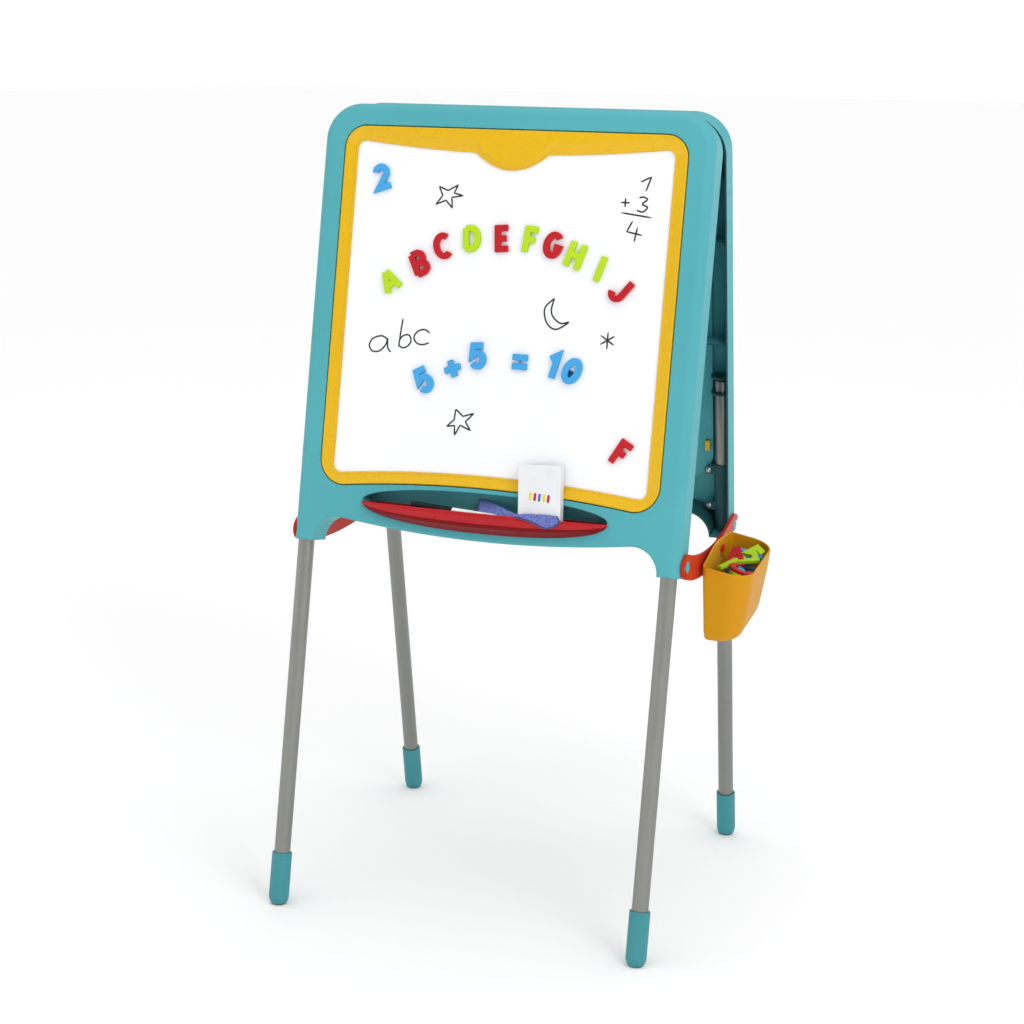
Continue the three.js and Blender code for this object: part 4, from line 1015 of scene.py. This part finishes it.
MAGNETS = [
    ("2", "blue", -182, -81, 18), ("A", "lime", -159, -219, 32), ("B", "red", -118, -193, 26),
    ("C", "red", -87, -169, 16), ("D", "lime", -47, -157, 4), ("E", "red", -3, -155, 5),
    ("F", "lime", 37, -155, -6), ("G", "red", 67.5, -160.5, -14), ("H", "lime", 98.5, -172.5, -18),
    ("I", "lime", 134, -188, -18), ("J", "red", 164, -214, -38), ("5", "blue", -99, -348, 27),
    ("plus", "blue", -59, -330, 22), ("5", "blue", -25, -311, 4), ("equals", "blue", 34.5, -315, -1),
    ("1", "blue", 82, -316, -14), ("0", "blue", 107, -322, -24), ("F", "red", 184, -424, -30),
]


def band(points, width):
    """Band of constant width along a broken line, with mitred corners and square ends."""
    at = [Vector(p) for p in points]
    left, right = [], []
    for i, p in enumerate(at):
        before = p - at[max(i - 1, 0)]
        after = at[min(i + 1, len(at) - 1)] - p
        a = (before if before.length > 0 else after).normalized()
        b = (after if after.length > 0 else before).normalized()
        mitre = (a + b).normalized()
        reach = (width / 2) / max(0.35, mitre.dot(a))
        side = Vector((-mitre.y, mitre.x)) * reach
        left.append(tuple(p + side))
        right.append(tuple(p - side))
    return left + right[::-1]


GLYPH_MESHES = {}


def glyph_mesh(figure):
    """Moulded letter or number: flat back, softly rounded front edges."""
    if figure not in GLYPH_MESHES:
        size = MAGNET_H - STROKE
        strokes = [prism(band([(x * size, y * size) for x, y in line], STROKE), 0, MAGNET_T)
                   for line in GLYPHS[figure]]
        if figure == "equals":
            strokes.append(box(-1.6, 1.6, -0.22 * size, 0.22 * size, 0, MAGNET_T - 2.4))
        GLYPH_MESHES[figure] = softened(union(strokes), 1.1, 3, 50)
    return GLYPH_MESHES[figure].copy()


# ------------------------------------------------------------------ build
build_side("front", FRONT, EAR["outer"])
build_side("rear", REAR, EAR["inner"])
build_legs("front", FRONT, False)
build_legs("rear", REAR, True)
repaint("whiteboard", "whiteboard")
repaint("chalkboard", "chalkboard")
for hand, side in (("left", -1), ("right", 1)):
    repaint(f"{hand}_hinge_pin", "steel")
    piece(f"{hand}_stay_plate", stay_mesh(side, side > 0), WORLD.copy(), M["stay"], f"{hand}_stay",
          [f"{hand}_stay"])

piece("bucket_shell", bucket_mesh(), HUNG.copy(), M["bucket"], "bucket", ["bucket"], 50)

for i, (figure, colour, u, v, turn) in enumerate(MAGNETS):
    at = FRONT @ Matrix.Translation((u, v, BOARD_W + GAP)) @ Matrix.Rotation(math.radians(turn), 4, "Z")
    node = f"magnet_{i + 1:02d}_{figure}"
    piece(f"board_{node}", glyph_mesh(figure), at, M[f"magnet_{colour}"], "front", [node], 50)

# Spare magnets heaped in the bucket: figure, colour, place in the bucket and turns in degrees.
HEAP = [
    ("A", "red", 305, 20, 489, (48, 0, 8)),
    ("I", "lime", 302, -12, 488, (6, -12, -30)),
    ("C", "red", 320, -18, 483, (14, 8, 70)),
    ("5", "blue", 320, 36, 478, (14, 6, -60)),
    ("I", "blue", 318, 44, 485, (8, 4, 78)),
    ("I", "lime", 321, 16, 484, (4, 6, -72)),
    ("D", "lime", 302, -44, 478, (4, -6, 70)),
    ("E", "blue", 304, 34, 470, (6, -6, 15)),
    ("2", "red", 304, 6, 468, (-6, 8, 100)),
    ("J", "lime", 316, -38, 480, (6, 8, 40)),
    ("0", "blue", 310, -6, 476, (4, 6, 30)),
    ("B", "red", 304, -24, 462, (4, 0, 60)),
    ("G", "lime", 316, -40, 464, (0, 6, -20)),
    ("F", "blue", 310, 46, 462, (6, 4, 120)),
    ("5", "lime", 322, 40, 484, (24, 22, -35)),
]
for i, (figure, colour, x, y, z, turns) in enumerate(HEAP):
    tip = Euler([math.radians(t) for t in turns]).to_matrix().to_4x4()
    at = HUNG @ Matrix.Translation((x, y, z)) @ tip
    name = f"spare_magnet_{i + 1:02d}"
    hides = ["spare_magnets"] if i == 0 else ()
    piece(name, glyph_mesh(figure), at, M[f"magnet_{colour}"], "bucket", hides, 50)


# ------------------------------------------------------------------ things in the tray
def marker_meshes():
    r = MARKER["r"]
    start = MARKER["cap"] + GAP
    end = MARKER["length"]
    cap = lathe([
        (0, 0), (r - 2.2, 0), (r - 1.2, 0.3), (r - 0.5, 1.1), (r - 0.1, 2.4),
        (r, 12), (r - 0.35, 12.4), (r - 0.35, 13.4), (r, 13.8), (r, MARKER["cap"] - 1.5),
        (r - 0.3, MARKER["cap"]), (4.3, MARKER["cap"]), (4.3, 14), (0, 14),
    ], 40)
    body = lathe([
        (0, 17), (1.0, 17), (1.4, 18), (1.8, 26), (3.6, 30), (3.9, start - 2), (3.9, start), (r - 0.6, start),
        (r - 0.3, start + 0.4), (r - 0.3, end - 10), (r - 0.7, end - 9.6), (r - 0.7, end - 9),
        (r - 0.3, end - 8.6), (r - 0.3, end - 2), (r - 1.2, end), (0, end),
    ], 40)
    return cap, body


marker_at = (FRONT @ Matrix.Translation((MARKER["u"], MARKER["v"], MARKER["w"]))
             @ Matrix.Rotation(MARKER["tilt"] - math.pi / 2, 4, "Z"))
cap, body = marker_meshes()
piece("marker_cap_moulding", cap, marker_at.copy(), M["marker_black"], "front", ["marker_cap"])
piece("marker_barrel", body, marker_at.copy(), M["marker_white"], "front", ["marker_body"])

carton_at = (FRONT @ Matrix.Translation((CARTON["u"], CARTON["v"], CARTON["w"]))
             @ Matrix.Rotation(CARTON["turn"], 4, "Z"))
half_w, half_h, half_d = CARTON["width"] / 2, CARTON["height"] / 2, CARTON["depth"] / 2
lid = half_h - 6.5
carton = combine(
    softened(box(-half_w, half_w, -half_h, half_h, -half_d, half_d), 0.5, 3),
    [box(-half_w - 1, half_w + 1, lid - 0.25, lid + 0.25, half_d - 0.3, half_d + 1),
     box(half_w - 0.3, half_w + 1, -half_h - 1, half_h + 1, -0.2, 0.2)],
)
piece("chalk_carton", carton, carton_at.copy(), M["carton"], "chalk_box", ["chalk_box"])
tab = softened(box(half_w - 5, half_w - 0.6, half_h - 0.4, half_h + 1.6, -3.5, -3.0), 0.15, 2)
piece("chalk_carton_tab", tab, carton_at.copy(), M["carton"], "chalk_box", ())
# A plain printed row of chalk sticks.
for i, ink_name in enumerate(("yellow_ink", "red_ink", "blue_ink", "yellow_ink", "red_ink")):
    x = -11.5 + 6.2 * i
    ends = joined(arc(x, -1.5, 1.9, 1.9, 0, math.pi, 12), arc(x, -8.5, 1.9, 1.9, math.pi, math.tau, 12))
    stick = prism(ends, 0, 0.06)
    at = carton_at @ Matrix.Translation((0, 0, half_d)) @ Matrix.Rotation(-0.12, 4, "Z")
    piece(f"chalk_carton_print_{i + 1}", stick, at, M[ink_name], "chalk_box", ())


# ------------------------------------------------------------------ drawings on the whiteboard
def smooth_path(points, closed=False, per_span=8):
    """Catmull-Rom run through the points."""
    pts = [Vector(p) for p in points]
    n = len(pts)
    spans = n if closed else n - 1
    out = []
    for i in range(spans):
        if closed:
            before, a, b, after = (pts[(i + k) % n] for k in (-1, 0, 1, 2))
        else:
            before, a, b, after = pts[max(i - 1, 0)], pts[i], pts[i + 1], pts[min(i + 2, n - 1)]
        for step in range(per_span):
            t = step / per_span
            out.append(0.5 * (2 * a + (b - before) * t + (2 * before - 5 * a + 4 * b - after) * t * t
                              + (3 * a - before - 3 * b + after) * t ** 3))
    out.append(pts[0] if closed else pts[-1])
    return out


def ink_line(points, width=2.3, height=0.12):
    """Flat bead of dried ink along a path on the board."""
    rings = []
    n = len(points)
    for i, p in enumerate(points):
        ahead = (points[min(i + 1, n - 1)] - points[max(i - 1, 0)]).normalized()
        side = Vector((-ahead.y, ahead.x))
        size = 0.45 if i in (0, n - 1) else 1.0
        half = width / 2 * size
        rings.append([
            (p.x + side.x * half * math.cos(t), p.y + side.y * half * math.cos(t), height * size * math.sin(t))
            for t in [k / 8 * math.tau for k in range(8)]
        ])
    return loft(rings)


DRAWINGS = [
    ([(-100, -90), (-87, -95), (-73, -87), (-78, -98), (-65, -101), (-81, -104), (-79, -118), (-89, -108),
      (-103, -114), (-94, -102), (-100, -90)], False),
    ([(-51, -383), (-40, -392), (-25, -387), (-36, -399), (-28, -410), (-43, -404), (-50, -418), (-51, -405),
      (-62, -407), (-52, -397), (-51, -383)], False),
    ([(74, -229), (63, -240), (62, -251), (68, -264), (80, -269), (96, -259), (85, -261), (74, -253), (71, -243),
      (74, -229)], True),
    ([(177, -74), (191, -67), (185, -86)], False),
    ([(159, -95), (159, -107)], False),
    ([(153, -101), (165, -101)], False),
    ([(177, -94), (183, -93), (188, -96), (182, -102), (189, -106), (183, -112), (175, -110)], True),
    ([(154, -114), (196, -119)], False),
    ([(171, -124), (164, -138), (185, -142)], False),
    ([(178, -132), (175, -151)], False),
    ([(150.6, -268), (150.6, -291)], False),
    ([(141, -273), (160, -285)], False),
    ([(141, -285), (160, -273)], False),
    ([(-157, -297), (-166, -293), (-178, -297), (-183, -306), (-178, -314), (-167, -313), (-159, -304),
      (-157, -296), (-156, -308), (-151, -314)], True),
    ([(-137, -268), (-139, -290), (-140, -306), (-139, -296), (-133, -290), (-126, -290), (-123, -297),
      (-127, -304), (-134, -307), (-140, -304)], True),
    ([(-97, -285), (-104, -281), (-113, -283), (-119, -291), (-115, -299), (-106, -301), (-97, -298)], True),
]
lines = []
for points, curved in DRAWINGS:
    path = smooth_path(points) if curved else [
        a.lerp(b, k / 6) for a, b in zip(map(Vector, points), map(Vector, points[1:])) for k in range(6)
    ] + [Vector(points[-1])]
    lines.append(ink_line(path))
drawing = union(lines)
piece("whiteboard_drawings", drawing, FRONT @ Matrix.Translation((0, 0, BOARD_W + 0.02)), M["ink"], "front",
      ())


# ------------------------------------------------------------------ cleaning cloth
# Stations along the cloth, left to right: its back edge, middle and hemmed front edge in the panel's (u, v, w).
# It lies across the tray, bunches at the lip, and its last corner turns down over the front of it.
CLOTH = [
    ((-13, -500.5, 25), (-9, -508.5, 38), (-3, -519, 55)),
    ((4, -503.0, 31), (8, -510.5, 43), (14, -520, 59)),
    ((22, -507.0, 41), (25, -512.5, 51), (30, -520, 63)),
    ((39, -511.0, 53), (41, -514.0, 60), (44, -519.5, 66)),
    ((53, -513.6, 63), (54, -514.4, 67), (56, -517.0, 71.5)),
    ((66, -512.4, 66.6), (67, -513.6, 70.5), (68, -518.6, 73.6)),
    ((80, -511.8, 66.6), (81, -513.4, 70.2), (82, -522.4, 73.0)),
    ((92, -511.2, 66.4), (94, -514.0, 69.8), (95.5, -527.2, 71.8)),
    ((101, -511.0, 66.2), (104, -514.6, 69.6), (105.5, -525.2, 70.8)),
    ((109, -511.8, 66.0), (112.5, -515.0, 69.0), (115, -518.6, 69.8)),
]
CLOTH_THICK = 1.5


def cloth_surface(across_steps=14):
    """Grid of points and unit normals over the stations, with soft wrinkles and a turned right corner."""
    edges = [smooth_path([station[k] for station in CLOTH], per_span=9) for k in range(3)]
    grid = []
    for i, (back, middle, front) in enumerate(zip(*edges)):
        row = []
        for j in range(across_steps + 1):
            t = j / across_steps
            point = (1 - t) ** 2 * back + 2 * t * (1 - t) * (2 * middle - (back + front) / 2) + t ** 2 * front
            ripple = 0.7 * math.sin(i * 0.42 + 2.2 * t) * math.sin(math.pi * t) + 0.25 * math.sin(i * 0.9 - 3 * t)
            row.append(point + Vector((0, 0.8, 0.5)) * ripple)
        grid.append(row)
    normals = []
    for i, row in enumerate(grid):
        before, after = grid[max(i - 1, 0)], grid[min(i + 1, len(grid) - 1)]
        normals.append([
            (after[j] - before[j]).cross(row[max(j - 1, 0)] - row[min(j + 1, len(row) - 1)]).normalized()
            for j in range(len(row))
        ])
    return grid, normals


def cloth_meshes():
    """The cloth as a closed thin solid, and the overlocked hem along its front edge and ends."""
    grid, normals = cloth_surface()
    half = CLOTH_THICK / 2
    loops = []
    for row, out in zip(grid, normals):
        top = [p + n * half for p, n in zip(row, out)]
        low = [p - n * half for p, n in zip(row, out)]
        loops.append([tuple(p) for p in top + low[::-1]])
    border = grid[0][:-1] + [row[-1] for row in grid] + grid[-1][::-1][1:]
    hem = []
    for i, p in enumerate(border):
        ahead = (border[min(i + 1, len(border) - 1)] - border[max(i - 1, 0)]).normalized()
        side = ahead.cross(Vector((0, 0.4, 0.9))).normalized()
        up = side.cross(ahead)
        thick = 1.5 + 0.2 * math.sin(i * 2.1)
        hem.append([tuple(p + side * thick * math.cos(t) + up * thick * 0.8 * math.sin(t))
                    for t in [k / 8 * math.tau for k in range(8)]])
    return loft(loops), loft(hem)


def grid_area(grid):
    total = 0
    for row, after in zip(grid, grid[1:]):
        for a, b, c, d in zip(row, row[1:], after[1:], after):
            total += ((b - a).cross(c - a).length + (c - a).cross(d - a).length) / 2
    return total * MM * MM


sheet_mesh, hem_mesh = cloth_meshes()
cloth = piece("terry_cloth", sheet_mesh, FRONT.copy(), M["cloth"], "front", ["cleaning_cloth"], 70)
hem = piece("terry_cloth_hem", hem_mesh, FRONT.copy(), M["hem"], "front", (), 70)
flat_area = grid_area(cloth_surface()[0])

# ------------------------------------------------------------------ floor, light and camera
floor_mesh = mesh_of([(-30, -30, 0), (30, -30, 0), (30, 60, 0), (-30, 60, 0)], [(0, 1, 2, 3)])
floor = bpy.data.objects.new("studio_floor", floor_mesh)
bpy.context.scene.collection.objects.link(floor)
floor_look = Look("studio_paper", 0xF9F9F9, 0.9)
floor_look.rough(floor_look.noise(3, 3), 0.85, 0.95)
floor_mesh.materials.append(floor_look.material)

# A dome: white at the horizon, dim just above it and bright overhead, as under a large overhead softbox.
world = bpy.data.worlds.new("studio")
world.use_nodes = True
tree = world.node_tree
heading = tree.nodes.new("ShaderNodeTexCoord")
split = tree.nodes.new("ShaderNodeSeparateXYZ")
ramp = tree.nodes.new("ShaderNodeValToRGB")
DOME_STRENGTH = 2.8
DOME = [(0.0, 2.6), (0.06, 2.6), (0.1, 0.3), (0.35, 0.36), (0.75, 1.2), (1.0, 1.62)]
while len(ramp.color_ramp.elements) < len(DOME):
    ramp.color_ramp.elements.new(0.5)
for stop, (height, light) in zip(ramp.color_ramp.elements, DOME):
    stop.position = height
    stop.color = (light / DOME_STRENGTH,) * 3 + (1,)
tree.links.new(heading.outputs["Generated"], split.inputs["Vector"])
tree.links.new(split.outputs["Z"], ramp.inputs["Fac"])
tree.links.new(ramp.outputs["Color"], tree.nodes["Background"].inputs["Color"])
tree.nodes["Background"].inputs["Strength"].default_value = DOME_STRENGTH
bpy.context.scene.world = world


def softbox(name, place, aim, size, power):
    data = bpy.data.lights.new(name, "AREA")
    data.shape = "RECTANGLE"
    data.size, data.size_y = size
    data.energy = power
    obj = bpy.data.objects.new(name, data)
    obj.location = place
    obj.rotation_euler = (Vector(aim) - Vector(place)).to_track_quat("-Z", "Y").to_euler()
    bpy.context.scene.collection.objects.link(obj)


softbox("key", (2.6, -2.2, 2.6), (0, 0, 0.6), (1.5, 1.5), 34)
softbox("fill", (-2.4, -2.8, 2.0), (0, 0, 0.6), (2.4, 2.4), 4)

CAMERA = dict(at=(0.86153, -2.52512, 1.14827), yaw=0.3447, pitch=0.2277, roll=0.0174, lens=69.45)
yaw, pitch, roll = CAMERA["yaw"], CAMERA["pitch"], CAMERA["roll"]
right = Vector((math.cos(yaw), math.sin(yaw), 0))
forward = Vector((-math.sin(yaw) * math.cos(pitch), math.cos(yaw) * math.cos(pitch), -math.sin(pitch)))
up = right.cross(forward)
cam_right = right * math.cos(roll) + up * math.sin(roll)
cam_up = up * math.cos(roll) - right * math.sin(roll)
camera_data = bpy.data.cameras.new("camera")
camera_data.lens = CAMERA["lens"]
camera_data.sensor_width = 36
camera_data.clip_end = 200
camera = bpy.data.objects.new("camera", camera_data)
turn = Matrix((cam_right, cam_up, -forward)).transposed().to_4x4()
camera.matrix_world = Matrix.Translation(CAMERA["at"]) @ turn
bpy.context.scene.collection.objects.link(camera)
bpy.context.scene.camera = camera
bpy.context.scene.view_settings.view_transform = "Standard"
